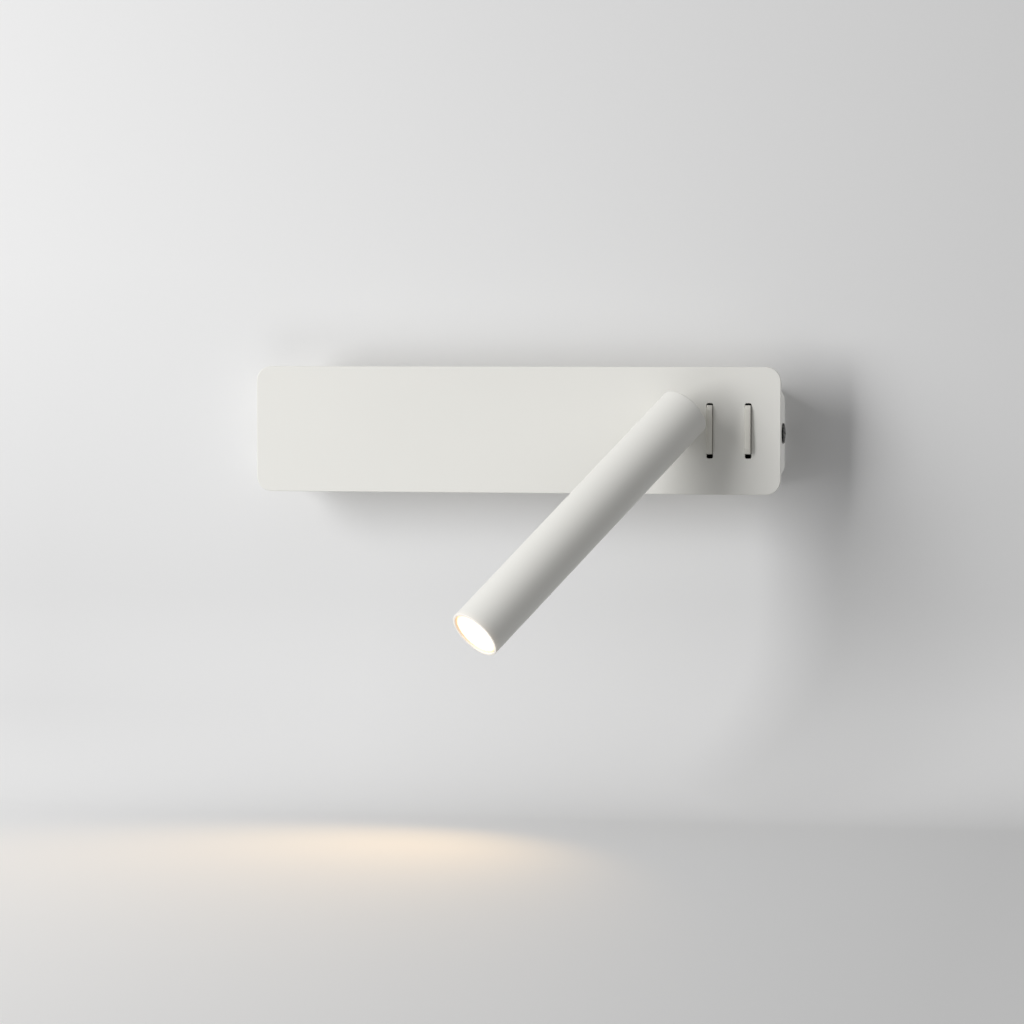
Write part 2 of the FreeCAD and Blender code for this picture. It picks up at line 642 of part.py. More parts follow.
def make_wall_bracket():
    body = new_body("wall_bracket", FIXED)
    pad(body, "plate", "XZ_Plane", [rectangle(bracket_end * 2, S.bracket_height)], S.bracket_thickness)
    rounded(body, "corners", S.bracket_corner, lambda edge: along(edge, 1))
    inset = bracket_end - S.bracket_thickness / 2
    flanges = [rectangle(S.bracket_thickness, S.flange_height, (x, ZERO)) for x in (-inset, inset)]
    pad(body, "flanges", "XZ_Plane", flanges, S.flange_depth)
    slots = []
    for span in (S.wall_slot_span, S.box_slot_span):
        for x in (-span / 2, span / 2):
            slots.append(("slot", (x, ZERO), S.screw_slot_length, S.screw_slot_width))
    pocket(body, "screw_slots", "XZ_Plane", slots)
    holes = [("circle", (ZERO, ZERO), S.cable_hole_radius),
             ("circle", (-S.earth_offset, ZERO), S.earth_thread_radius + S.screw_play)]
    pocket(body, "holes", "XZ_Plane", holes)
    pocket(body, "side_holes", "YZ_Plane",
           [("circle", (-S.side_screw_depth, ZERO), S.side_shank_radius + S.screw_play * 2)])


def make_side_screws():
    screws, nuts = [], []
    for index, way in enumerate((-1, 1)):
        face = housing_end * way
        spot = (face, -S.side_screw_depth, ZERO)
        head = cylinder_way("side_head%d" % index, S.side_head_radius, S.side_head_height, spot, way)
        shank = cylinder_way("side_shank%d" % index, S.side_shank_radius, S.side_shank_length, spot, -way)
        middle = (face + S.side_head_height * way, spot[1], spot[2])
        arms = []
        for arm, size in enumerate(((S.side_recess_width, S.side_recess_span),
                                    (S.side_recess_span, S.side_recess_width))):
            arms.append(block("side_recess%d%d" % (index, arm), (S.side_recess_depth * 2,) + size, middle))
        screws.append(less("side_screw%d" % index, joined("side_solid%d" % index, [head, shank]), arms))
        inner = (bracket_end - S.bracket_thickness) * way
        bush = cylinder_way("clinch_bush%d" % index, S.clinch_radius, S.clinch_height,
                            (inner,) + spot[1:], -way)
        hole = cylinder_way("clinch_hole%d" % index, S.side_shank_radius + S.screw_play,
                            S.clinch_height + S.overrun * 2, (inner + S.overrun * way,) + spot[1:], -way)
        nuts.append(less("clinch_nut%d" % index, bush, [hole]))
    keep(group("side_screws_group", screws), "side_screws", FIXED)
    keep(group("clinch_nuts_group", nuts), "clinch_nuts", FIXED)


def cylinder_way(name, radius, length, at, way):
    """A cylinder along X from a point, to the right or to the left."""
    start = at[0] if way > 0 else at[0] - length
    return cylinder(name, radius, length, "x", (start,) + tuple(at[1:]))


# Supply side: grommet, terminal block and earth screw on the bracket

def make_supply():
    plate = S.bracket_thickness
    barrel = cylinder("grommet_barrel", S.cable_hole_radius - S.screw_play, plate, "y", (ZERO, -plate, ZERO))
    flange = cylinder("grommet_flange", S.grommet_flange_radius, S.grommet_flange_height, "y",
                      (ZERO, -plate - S.grommet_flange_height, ZERO))
    bore = cylinder("grommet_bore", S.cable_radius, plate + S.grommet_flange_height + S.overrun * 2, "y",
                    (ZERO, -plate - S.grommet_flange_height - S.overrun, ZERO))
    keep(less("grommet_ring", joined("grommet_solid", [barrel, flange]), [bore]), "cable_grommet", FIXED)

    front = -plate - S.terminal_depth
    case = block("terminal_case", (S.terminal_length, S.terminal_depth, S.terminal_width),
                 (terminal_place, front + S.terminal_depth / 2, S.terminal_rise))
    cuts, screws = [], []
    for pole in range(POLE_COUNT):
        x = terminal_place + S.terminal_pitch * (pole - (POLE_COUNT - 1) / 2)
        wire = (x, -plate - S.terminal_wire_depth, S.terminal_rise - S.terminal_width / 2 - S.overrun)
        cuts.append(cylinder("wire_hole%d" % pole, S.terminal_wire_radius,
                             S.terminal_width + S.overrun * 2, "z", wire))
        for side, rise in enumerate((-S.terminal_row_rise, S.terminal_row_rise)):
            tag = "%d%d" % (pole, side)
            z = rise + S.terminal_rise
            cuts.append(cylinder("screw_well" + tag, S.terminal_well_radius,
                                 S.terminal_well_depth + S.overrun, "y", (x, front - S.overrun, z)))
            floor = front + S.terminal_well_depth
            shank = cylinder("terminal_shank" + tag, S.terminal_well_radius - S.screw_play,
                             S.terminal_screw_height, "y", (x, floor - S.terminal_screw_height, z))
            slot = block("terminal_slot" + tag, (S.terminal_well_radius * 3, S.earth_slot_width,
                                                 S.earth_slot_width),
                         (x, floor - S.terminal_screw_height, z))
            screws.append(less("terminal_screw" + tag, shank, [slot]))
    keep(less("terminal_body", case, cuts), "terminal_block", FIXED)
    keep(group("terminal_screws_group", screws), "terminal_screws", FIXED)

    x = -S.earth_offset
    washer_face = -plate - S.earth_washer_height
    keep(ring("earth_ring", S.earth_washer_radius, S.earth_thread_radius + S.screw_play,
              S.earth_washer_height, "y", (x, washer_face, ZERO)), "earth_washer", FIXED)
    top = washer_face - S.earth_head_height
    head = cylinder("earth_head", S.earth_head_radius, S.earth_head_height, "y", (x, top, ZERO))
    shank = cylinder("earth_shank", S.earth_thread_radius, -washer_face - S.face_gap, "y",
                     (x, washer_face, ZERO))
    slot = block("earth_slot", (S.earth_head_radius * 3, S.earth_slot_depth * 2, S.earth_slot_width),
                 (x, top, ZERO))
    keep(less("earth_solid", joined("earth_parts", [head, shank]), [slot]), "earth_screw", FIXED)


# LED driver, screwed to the back of the housing web

def driver_screw_places():
    reach = (S.driver_length + S.ear_length) / 2
    return (-S.driver_offset - reach, -S.driver_offset + reach)


def make_driver():
    body = new_body("led_driver", frame_at(-S.driver_offset, -web_back, ZERO))
    outline = rectangle(S.driver_length, S.driver_width)
    pad(body, "case", "XZ_Plane", [outline], S.driver_depth, Reversed=True)
    rounded(body, "case_corners", S.driver_edge, lambda edge: along(edge, 1))
    back = S.driver_depth.value
    rounded(body, "case_rim", S.driver_edge, lambda edge: abs(edge.CenterOfMass.y - back) < 1e-6)
    pad(body, "ears", "XZ_Plane", [rectangle(S.driver_length + S.ear_length * 2, S.ear_width)],
        S.ear_thickness, Reversed=True)
    reach = (S.driver_length + S.ear_length) / 2
    holes = [("circle", (x, ZERO), S.driver_thread_radius + S.screw_play) for x in (-reach, reach)]
    pocket(body, "ear_holes", "XZ_Plane", holes)
    screws = []
    for index, x in enumerate(driver_screw_places()):
        seat = -web_back + S.ear_thickness
        shank = cylinder("driver_shank%d" % index, S.driver_thread_radius,
                         S.ear_thickness + S.housing_wall - S.face_gap, "y",
                         (x, -panel_back + S.face_gap, ZERO))
        head = cylinder("driver_head%d" % index, S.driver_head_radius, S.driver_head_height, "y",
                        (x, seat, ZERO))
        slot = block("driver_slot%d" % index, (S.driver_head_radius * 3, S.earth_slot_depth * 2,
                                               S.earth_slot_width),
                     (x, seat + S.driver_head_height, ZERO))
        solid = joined("driver_solid%d" % index, [shank, head])
        screws.append(less("driver_screw%d" % index, solid, [slot]))
    keep(group("driver_screws_group", screws), "driver_screws", FIXED)


# Backlight above and below the housing: board, LEDs and opal channel

def make_backlight(side, way):
    face = S.housing_height / 2 * way
    depth = -S.strip_depth
    board = block("strip" + side, (S.strip_length, S.strip_width, S.strip_thickness),
                  (ZERO, depth, face + S.strip_thickness / 2 * way))
    keep(group("strip_group" + side, [board]), "backlight_board_" + side, FIXED)
    chips = []
    height = face + (S.strip_thickness + S.chip_height / 2) * way
    for index in range(CHIP_COUNT):
        x = S.chip_pitch * (index - (CHIP_COUNT - 1) / 2)
        chips.append(block("chip_%s%d" % (side, index), (S.chip_side, S.chip_side, S.chip_height),
                           (x, depth, height)))
    keep(group("chip_group" + side, chips), "backlight_leds_" + side, FIXED)
    length = S.strip_length + S.diffuser_wall * 4
    middle = face + S.diffuser_height / 2 * way
    outer = block("channel" + side, (length, S.diffuser_width, S.diffuser_height), (ZERO, depth, middle))
    inner = block("channel_hollow" + side,
                  (length - S.diffuser_wall * 2, S.diffuser_width - S.diffuser_wall * 2, S.diffuser_height),
                  (ZERO, depth, middle - S.diffuser_wall * way))
    keep(less("channel_cut" + side, outer, [inner]), "backlight_diffuser_" + side, FIXED)


# Rocker switches: body, rocker, see-saw contact and terminals

ROCKER_REST = "rotation(vector(1; 0; 0); -1 * %s / 2)" % S.rocker_swing_angle.text
LEVER_REST = "rotation(vector(1; 0; 0); %s / 2)" % S.lever_swing_angle.text
lever_top = S.rocker_foot + S.lever_gap
lever_bottom = lever_top + S.lever_thickness
lever_axis_depth = rocker_axis_depth - lever_bottom


def make_switch(side, x):
    shell = new_body("switch_body_" + side, frame_at(x, -web_back, S.panel_lift))
    outline = rectangle(S.switch_width, S.switch_height)
    pad(shell, "case", "XZ_Plane", [outline], S.switch_depth, Reversed=True)
    pocket(shell, "cavity", "XZ_Plane", [rectangle(S.cavity_width, S.cavity_height)],
           S.switch_depth - S.cavity_floor)
    axle = (web_back - rocker_axis_depth, ZERO)
    pocket(shell, "axle_holes", "YZ_Plane", [("circle", axle, S.trunnion_radius + S.trunnion_play)])
    tags = [rectangle(S.tag_width + S.screw_play * 2, S.tag_thickness + S.screw_play * 2,
                      (ZERO, S.tag_pitch * step)) for step in (-1, 0, 1)]
    pocket(shell, "tag_slots", "XZ_Plane", tags)

    rocker = new_body("rocker_" + side, frame_at(x, -rocker_axis_depth, S.panel_lift, ROCKER_REST))
    face = -S.rocker_pivot_depth - S.blade_height
    tip = S.blade_length / 2
    skirt = rocker_axis_depth - web_back + S.rocker_skirt
    half = ((face, tip - S.blade_bevel_length), (face + S.blade_bevel_drop, tip), (skirt, tip),
            (S.rocker_hub_radius, S.rocker_hub_radius), (S.rocker_foot, S.rocker_foot_radius))
    profile = half + tuple((depth, -height) for depth, height in reversed(half))
    pad(rocker, "blade", "YZ_Plane", [profile], S.blade_width, Midplane=True)
    limit = skirt.value - 1e-3
    rounded(rocker, "blade_edges", S.blade_edge, lambda edge: edge.CenterOfMass.y < limit
            and abs(abs(edge.CenterOfMass.x) - S.blade_width.value / 2) < 1e-6)
    pad(rocker, "axle", "YZ_Plane", [("circle", (ZERO, ZERO), S.trunnion_radius)], S.trunnion_length,
        Midplane=True)

    lever = block("lever_blade_" + side, (S.lever_width, S.lever_thickness, S.lever_length),
                  (ZERO, -S.lever_thickness / 2, ZERO))
    keep(group("lever_group_" + side, [lever]), "contact_lever_" + side,
         frame_at(x, -lever_axis_depth, S.panel_lift, LEVER_REST))

    floor = web_back - S.switch_depth + S.cavity_floor
    tags = []
    for index, step in enumerate((-1, 0, 1)):
        drop = sink_of_lever() if step else ZERO
        top = lever_axis_depth - S.tag_gap - drop
        bottom = floor - S.cavity_floor - S.tag_reach
        tags.append(block("tag_%s%d" % (side, index), (S.tag_width, top - bottom, S.tag_thickness),
                          (x, -(top + bottom) / 2, S.panel_lift + S.tag_pitch * step)))
    keep(group("tag_group_" + side, tags), "switch_terminals_" + side, FIXED)


def sink_of_lever():
    """How far the see-saw contact dips at an outer terminal, at the end of its travel."""
    half = S.lever_swing_angle / 2
    share = Size(math.tan(math.radians(half.value)), "tan(%s)" % half.text)
    return (S.tag_pitch + S.tag_thickness / 2) * share


# Swivel: the collar fixed in the panel, and the stem that turns in it with its friction stack

def make_swivel():
    flange = -S.body_depth - S.collar_height
    bore = S.spindle_radius + S.running_play
    corners = ((bore, flange), (S.collar_radius - S.collar_edge, flange),
               (S.collar_radius, flange + S.collar_edge), (S.collar_radius, -S.body_depth),
               (S.barrel_radius, -S.body_depth), (S.barrel_radius, -barrel_end), (bore, -barrel_end))
    turned("swivel_collar", frame_at(swivel_place, ZERO, S.panel_lift), corners, "y")
    keep(nut("collar_nut_cut", S.collar_nut_across, S.barrel_radius + S.screw_play, S.collar_nut_height, "y",
             (swivel_place, -web_back, S.panel_lift)), "collar_nut", FIXED)

    stack = pivot_depth - barrel_end + S.face_gap
    spindle_end = pivot_depth - barrel_end + S.spindle_tail
    flange_back = collar_front - S.face_gap
    flange_front = flange_back - S.stem_flange_height
    corners = ((ZERO, flange_front), (S.stem_flange_radius - S.collar_edge, flange_front),
               (S.stem_flange_radius, flange_front + S.collar_edge), (S.stem_flange_radius, flange_back),
               (S.spindle_radius, flange_back), (S.spindle_radius, spindle_end), (ZERO, spindle_end))
    stem = turned("swivel_stem", STEM, corners, "y")
    half, neck_end = S.neck_width / 2, flange_back - S.collar_edge
    neck = ((-half, ZERO), (half, ZERO), (half, neck_end), (-half, neck_end))
    pad(stem, "neck", "XY_Plane", [neck], S.neck_thickness, Midplane=True)
    pad(stem, "eye", "XY_Plane", [("circle", (ZERO, ZERO), S.eye_radius)], S.neck_thickness, Midplane=True)
    pocket(stem, "pin_hole", "XY_Plane", [("circle", (ZERO, ZERO), S.tilt_pin_radius + S.running_play)])
    pocket(stem, "lead_bore", "XZ_Plane", [("circle", (ZERO, ZERO), S.spindle_bore_radius)],
           spindle_end - S.lead_exit_height, -spindle_end, Reversed=True)
    pocket(stem, "lead_exit", "YZ_Plane",
           [("circle", (S.lead_exit_height + S.lead_exit_radius, ZERO), S.lead_exit_radius)],
           S.neck_width / 2 + S.overrun)

    place = stack
    keep(ring("slide_ring", S.slide_washer_radius, S.spindle_radius + S.running_play, S.slide_washer_height,
              "y", (ZERO, place, ZERO)), "slide_washer", STEM)
    place = place + S.slide_washer_height + S.face_gap
    inner = S.spindle_radius + S.running_play
    corners = ((inner, place + S.spring_cone), (S.spring_radius, place),
               (S.spring_radius, place + S.spring_thickness),
               (inner, place + S.spring_cone + S.spring_thickness))
    turned("disc_spring", STEM, corners, "y")
    place = place + S.spring_cone + S.spring_thickness + S.face_gap
    disc = cylinder("stop_disc", S.stop_disc_radius, S.stop_disc_height, "y", (ZERO, place, ZERO))
    finger = block("stop_finger", (S.stop_finger_reach, S.stop_disc_height, S.stop_finger_width),
                   (-S.stop_finger_reach / 2, place + S.stop_disc_height / 2, ZERO))
    hole = cylinder("stop_hole", inner, S.stop_disc_height + S.overrun * 2, "y",
                    (ZERO, place - S.overrun, ZERO))
    keep(less("stop_cut", joined("stop_solid", [disc, finger]), [hole]), "stop_washer", STEM)
    pin_tail = place + S.stop_disc_height - pivot_depth + panel_back
    keep(group("stop_pin_group",
               [cylinder("stop_pin_rod", S.stop_pin_radius, pin_tail - S.face_gap, "y",
                         (swivel_place + S.stop_pin_orbit, -panel_back + S.face_gap, S.panel_lift))]),
         "stop_pin", FIXED)
    place = place + S.stop_disc_height + S.face_gap
    nuts = []
    for index in range(2):
        nuts.append(nut("lock_nut%d" % index, S.lock_nut_across, inner, S.lock_nut_height, "y",
                        (ZERO, place, ZERO)))
        place = place + S.lock_nut_height + S.face_gap
    keep(group("lock_nuts_group", nuts), "lock_nuts", STEM)


# Lamp tube and the yoke that plugs its rear end and carries the tilt pin

def make_tube():
    outer, front, rear = S.tube_radius, -S.head_reach, S.head_tail
    corners = ((front, tube_bore), (front, outer - S.tube_edge), (front + S.tube_edge, outer),
               (rear, outer), (rear, tube_bore))
    tube = turned("lamp_tube", HEAD, corners)
    rounded(tube, "rear_edge", S.tube_rear_edge, lambda edge: abs(edge.CenterOfMass.x - rear.value) < 1e-6
            and edge.Curve.Radius > tube_bore.value + 1e-6)
    slot = ((-slot_stop, ZERO), (rear + S.overrun, ZERO),
            (rear + S.overrun, outer + S.overrun), (-slot_stop, outer + S.overrun))
    pocket(tube, "tilt_slot", "XY_Plane", [slot], slot_half * 2, Midplane=True)
    screw_hole = S.set_screw_radius + S.screw_play
    spots = [("circle", (S.set_screw_start, z), screw_hole) for z in (-S.set_screw_rise, S.set_screw_rise)]
    pocket(tube, "set_screw_holes", "XZ_Plane", spots, outer + S.overrun)

    start, cheek_end = -S.cheek_start, rear - S.plug_length
    corners = ((start, ZERO), (start, insert_radius), (rear, insert_radius), (rear, ZERO))
    yoke = turned("rear_yoke", HEAD, corners)
    reach = outer + S.overrun
    mouth = start - S.overrun
    middle = ((mouth, -reach), (cheek_end, -reach), (cheek_end, reach), (mouth, reach))
    pocket(yoke, "fork", "XY_Plane", [middle], cheek_inner * 2, Midplane=True)
    flats = []
    for way in (-1, 1):
        near, far = S.cheek_outer * way, reach * way
        flats.append(((mouth, near), (cheek_end, near), (cheek_end, far), (mouth, far)))
    pocket(yoke, "cheek_flats", "XZ_Plane", flats)
    slot = ((cheek_end - S.overrun, -slot_stop), (rear + S.overrun, -slot_stop),
            (rear + S.overrun, reach), (cheek_end - S.overrun, reach))
    pocket(yoke, "tilt_slot", "XY_Plane", [slot], slot_half * 2, Midplane=True)
    pocket(yoke, "pin_hole", "XY_Plane", [("circle", (ZERO, ZERO), S.tilt_pin_radius + S.screw_play)])
    start_height = outer - S.set_screw_length - S.set_screw_radius
    pocket(yoke, "set_screw_holes", "XZ_Plane", spots, reach, -start_height)

    screws = []
    for index, z in enumerate((-S.set_screw_rise, S.set_screw_rise)):
        screws.append(cylinder("set_screw%d" % index, S.set_screw_radius,
                               S.set_screw_length - S.set_screw_radius, "y",
                               (S.set_screw_start, start_height + S.face_gap, z)))
    keep(group("set_screws_group", screws), "tube_set_screws", HEAD)

    head = cylinder("tilt_head", S.tilt_head_radius, S.tilt_head_height, "z",
                    (ZERO, ZERO, -S.cheek_outer - S.tilt_head_height))
    shank = cylinder("tilt_shank", S.tilt_pin_radius,
                     S.cheek_outer * 2 + S.tilt_nut_height + S.face_gap, "z", (ZERO, ZERO, -S.cheek_outer))
    keep(joined("tilt_pin_solid", [head, shank]), "tilt_pin", HEAD)
    keep(nut("tilt_nut_cut", S.tilt_nut_across, S.tilt_pin_radius + S.screw_play, S.tilt_nut_height, "z",
             (ZERO, ZERO, S.cheek_outer + S.face_gap)), "tilt_nut", HEAD)
    washers = []
    for index, z in enumerate((friction_face, -friction_face - S.friction_height)):
        washers.append(ring("friction_ring%d" % index, S.friction_radius, S.tilt_pin_radius + S.screw_play,
                            S.friction_height, "z", (ZERO, ZERO, z)))
    keep(group("friction_group", washers), "friction_washers", HEAD)


# Light engine: heat sink, LED board, reflector, holder and lens

def make_light_engine():
    edge = S.lens_edge
    corners = ((-lens_front, ZERO), (-lens_front, S.lens_radius - edge),
               (edge - lens_front, S.lens_radius), (-lens_back, S.lens_radius), (-lens_back, ZERO))
    turned("front_lens", HEAD, corners)
    keep(ring("holder_ring", insert_radius, insert_radius - S.holder_wall, S.holder_length, "x",
              (-lens_back, ZERO, ZERO)), "optic_holder", HEAD)
    mouth, throat = -lens_back + S.reflector_gap, -board_front - S.reflector_gap
    corners = ((mouth, S.reflector_mouth), (mouth, S.reflector_mouth + S.reflector_wall),
               (throat, S.reflector_throat + S.reflector_wall), (throat, S.reflector_throat))
    turned("reflector", HEAD, corners)

    board = cylinder("board_disc", S.led_board_radius, S.led_board_thickness, "x",
                     (-board_front, ZERO, ZERO))
    chip = cylinder("spot_chip", S.led_radius, S.led_height, "x", (-board_front - S.led_height, ZERO, ZERO))
    keep(group("spot_led_group", [chip]), "spot_led", HEAD)
    sink = turned("heat_sink", HEAD, ((-board_back, ZERO), (-board_back, insert_radius),
                                      (-sink_back, insert_radius), (-sink_back, ZERO)))
    slot_end = -board_back + S.sink_base
    slot = ((slot_end, S.sink_core_radius), (-sink_back + S.overrun, S.sink_core_radius),
            (-sink_back + S.overrun, insert_radius + S.overrun), (slot_end, insert_radius + S.overrun))
    first = pocket(sink, "fin_slot", "XY_Plane", [slot], S.sink_slot_width, Midplane=True)
    fins = sink.newObject("PartDesign::PolarPattern", "heat_sink_fins")
    fins.Originals = [first]
    line = [feature for feature in sink.Origin.OriginFeatures if feature.Role == "X_Axis"][0]
    fins.Axis = (line, [""])
    fins.Angle = 360
    fins.Occurrences = FIN_SLOT_COUNT
    sink.Tip = fins
    doc.recompute()
    pocket(sink, "lead_way", "YZ_Plane", [("circle", (ZERO, ZERO), S.lead_way_radius)])
    screw_spots = [(ZERO, S.board_screw_orbit), (ZERO, -S.board_screw_orbit)]
    spots = [("circle", spot, S.board_thread_radius + S.screw_play) for spot in screw_spots]
    pocket(sink, "thread_holes", "YZ_Plane", spots, S.board_thread_length, -board_back, Reversed=True)
    screws, holes = [], []
    for index, (y, z) in enumerate(screw_spots):
        shank = cylinder("board_shank%d" % index, S.board_thread_radius,
                         S.board_thread_length + S.led_board_thickness - S.face_gap, "x",
                         (-board_front, y, z))
        head = cylinder("board_head%d" % index, S.board_head_radius, S.board_head_height, "x",
                        (-board_front - S.board_head_height, y, z))
        screws.append(joined("board_screw%d" % index, [shank, head]))
        holes.append(cylinder("board_hole%d" % index, S.board_thread_radius + S.screw_play,
                              S.led_board_thickness + S.overrun * 2, "x",
                              (-board_front - S.overrun, y, z)))
    keep(group("board_screws_group", screws), "board_screws", HEAD)
    keep(less("board_cut", board, holes), "led_board", HEAD)


# Leads: from the LED driver to the swivel, through the stem, and on to the LED board

def make_leads():
    start = -board_back + S.face_gap
    end = -S.eye_radius - S.lead_end_gap
    keep(group("head_lead_group",
               [cylinder("head_sheath", S.lead_radius, end - start, "x", (start, ZERO, ZERO))]),
         "head_lead", HEAD)
    spindle_end = pivot_depth - barrel_end + S.spindle_tail
    foot = S.lead_exit_height + S.lead_exit_radius
    keep(group("stem_lead_group",
               [cylinder("stem_sheath", S.lead_radius, spindle_end - foot, "y", (ZERO, foot, ZERO))]),
         "stem_lead", STEM)
    outlet = (S.driver_length / 2 - S.driver_offset).value
    swivel, rise = swivel_place.value, S.panel_lift.value
    low, high = (S.lead_start_drop - web_back).value, -S.lead_run_depth.value
    tip = (S.spindle_tail - barrel_end + S.face_gap * 2).value
    corners = [FreeCAD.Vector(*spot) for spot in (
        (outlet + S.face_gap.value, low, rise), (swivel - S.lead_low_reach.value, low, rise),
        (swivel - S.lead_high_reach.value, high, rise), (swivel, high, rise), (swivel, tip, rise))]
    path = bent_path(corners, high - tip - S.lead_tip.value)
    circle = Part.Circle(corners[0], corners[1] - corners[0], S.lead_radius.value)
    lead = doc.addObject("Part::Feature", "driver_lead_tube")
    lead.Shape = Part.Wire(path).makePipeShell([Part.Wire(circle.toShape())], True, False)
    ratio = lead.Shape.Volume / (math.pi * S.lead_radius.value ** 2 * path.Length)
    if abs(ratio - 1) > 0.01:
        raise RuntimeError("driver_lead: volume %.3f of its section times its length" % ratio)
    keep(lead, "driver_lead")


def bent_path(corners, radius):
    """Straight runs through the corners, joined by tangent arcs of one radius."""
    edges, last = [], corners[0]
    for before, corner, after in zip(corners, corners[1:], corners[2:]):
        back = (before - corner).normalize()
        ahead = (after - corner).normalize()
        half = back.getAngle(ahead) / 2
        reach = radius / math.tan(half)
        bisector = (back + ahead).normalize()
        middle = corner + bisector * (radius / math.sin(half) - radius)
        first, final = corner + back * reach, corner + ahead * reach
        edges.append(Part.LineSegment(last, first).toShape())
        edges.append(Part.Arc(first, middle, final).toShape())
        last = final
    edges.append(Part.LineSegment(last, corners[-1]).toShape())
    return Part.Wire(edges)


make_front_panel()
make_stud_nuts()
make_rear_housing()
make_wall_bracket()
make_side_screws()
make_supply()
make_driver()
for side, way in (("top", 1), ("bottom", -1)):
    make_backlight(side, way)
for side, place in zip(("left", "right"), switch_places):
    make_switch(side, place)
make_swivel()
make_tube()
make_light_engine()
make_leads()
doc.recompute()

for thing in doc.Objects:
    if "Invalid" in thing.State or "Error" in thing.State:
        raise RuntimeError(thing.Label + " failed: " + ", ".join(thing.State))
os.makedirs("parts", exist_ok=True)
for node in nodes:
    if node.Shape.isNull() or not node.Shape.isValid():
        raise RuntimeError(node.Label + " has no valid shape")
    if not node.Shape.Solids:
        raise RuntimeError(node.Label + " holds no solid")
    node.Shape.exportStep("parts/" + node.Label + ".step")
print(len(nodes), "nodes,", sum(len(node.Shape.Solids) for node in nodes), "solids")
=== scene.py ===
import json
import math

import bmesh
import bpy
import numpy as np
from mathutils import Matrix, Vector
from mathutils.geometry import tessellate_polygon

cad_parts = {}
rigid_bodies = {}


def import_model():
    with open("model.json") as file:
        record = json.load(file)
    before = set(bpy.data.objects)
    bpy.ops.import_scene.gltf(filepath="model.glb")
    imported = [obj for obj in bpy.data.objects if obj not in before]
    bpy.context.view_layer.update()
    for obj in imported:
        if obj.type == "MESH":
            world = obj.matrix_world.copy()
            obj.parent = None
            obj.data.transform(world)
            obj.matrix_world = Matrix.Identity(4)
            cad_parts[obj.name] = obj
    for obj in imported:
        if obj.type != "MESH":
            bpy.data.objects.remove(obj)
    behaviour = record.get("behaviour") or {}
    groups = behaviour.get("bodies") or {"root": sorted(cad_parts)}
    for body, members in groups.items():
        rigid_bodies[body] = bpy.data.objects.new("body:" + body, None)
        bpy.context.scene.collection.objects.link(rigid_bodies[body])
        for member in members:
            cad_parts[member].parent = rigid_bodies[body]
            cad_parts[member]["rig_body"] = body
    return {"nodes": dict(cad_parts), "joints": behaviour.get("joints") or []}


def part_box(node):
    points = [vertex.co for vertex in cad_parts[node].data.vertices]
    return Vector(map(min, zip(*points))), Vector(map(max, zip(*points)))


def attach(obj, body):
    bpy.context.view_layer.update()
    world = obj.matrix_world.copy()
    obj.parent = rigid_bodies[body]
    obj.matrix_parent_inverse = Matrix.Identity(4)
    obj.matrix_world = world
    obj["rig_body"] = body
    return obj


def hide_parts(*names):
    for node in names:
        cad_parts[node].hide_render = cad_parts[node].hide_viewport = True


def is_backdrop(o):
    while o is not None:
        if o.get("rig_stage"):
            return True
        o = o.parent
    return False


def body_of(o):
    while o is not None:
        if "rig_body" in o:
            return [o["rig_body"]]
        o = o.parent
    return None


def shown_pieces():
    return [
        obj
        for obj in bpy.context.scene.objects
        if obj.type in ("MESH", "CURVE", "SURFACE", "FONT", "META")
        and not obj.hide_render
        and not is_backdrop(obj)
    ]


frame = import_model()

# Swivel wall light: finishes and finely shaped surfaces for the parts of the frame.
# Lengths are in metres, +Z up, the wall is the plane Y = 0 and the light stands out towards -Y.

bl_info = {
    "name": "Swivel wall light",
    "version": (1, 0, 0),
    "blender": (4, 5, 0),
    "location": "3D View > Sidebar > Wall light",
    "description": "Shapes and finishes of a wall light with a swivelling tube lamp",
    "category": "Add Mesh",
}

MM = 0.001
WELD = 0.002 * MM           # points nearer than this become one
SLIVER = 0.001 * MM         # edges shorter than this are dissolved
FLAT = 0.05 * MM            # flat strip beside a rounding, which keeps long faces' shading straight
PLAY = 0.05 * MM            # a hole beyond what goes through it
SHEET_EDGE = 0.15 * MM      # rounding of a cut sheet's edge
CLEAR = 5 * MM              # how far a cutter reaches past the outermost wall
QUARTER = math.pi / 2
SMOOTH_LIMIT = math.radians(35.0)
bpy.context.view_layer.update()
JOINTS = {joint["name"]: joint for joint in frame["joints"]}
PANEL_LOW, PANEL_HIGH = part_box("front_panel")
HOUSING_LOW, HOUSING_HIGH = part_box("rear_housing")
BRACKET_LOW, BRACKET_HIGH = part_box("wall_bracket")
TILT_AXIS = Vector(JOINTS["head_tilt"]["axis"])
PIVOT = Vector(JOINTS["head_tilt"]["pos_m"])
PAN = math.atan2(-TILT_AXIS.x, TILT_AXIS.z)
TILT = math.radians(-JOINTS["head_tilt"]["range_deg"][0])
# The stem's place is the tilt pin's middle, Y along the spindle and Z along the pin. The head's place is
# the same point, X along the tube from its lit front, which lies at negative X, to its rear.
STEM_PLACE = Matrix.Translation(PIVOT) @ Matrix.Rotation(-PAN, 4, "Y")
HEAD_PLACE = STEM_PLACE @ Matrix.Rotation(TILT, 4, "Z")
PANEL_MIDDLE = ((PANEL_LOW.x + PANEL_HIGH.x) / 2, (PANEL_LOW.z + PANEL_HIGH.z) / 2)
SWITCH_SPOTS = [(JOINTS[name]["pos_m"][0], JOINTS[name]["pos_m"][2])
                for name in ("rocker_left", "rocker_right")]
SWIVEL_SPOT = (PIVOT.x, PIVOT.z)


def node_points(node, place=Matrix()):
    """Points of a node's mesh, seen from a place."""
    back = place.inverted()
    return np.array([back @ vertex.co for vertex in frame["nodes"][node].data.vertices])


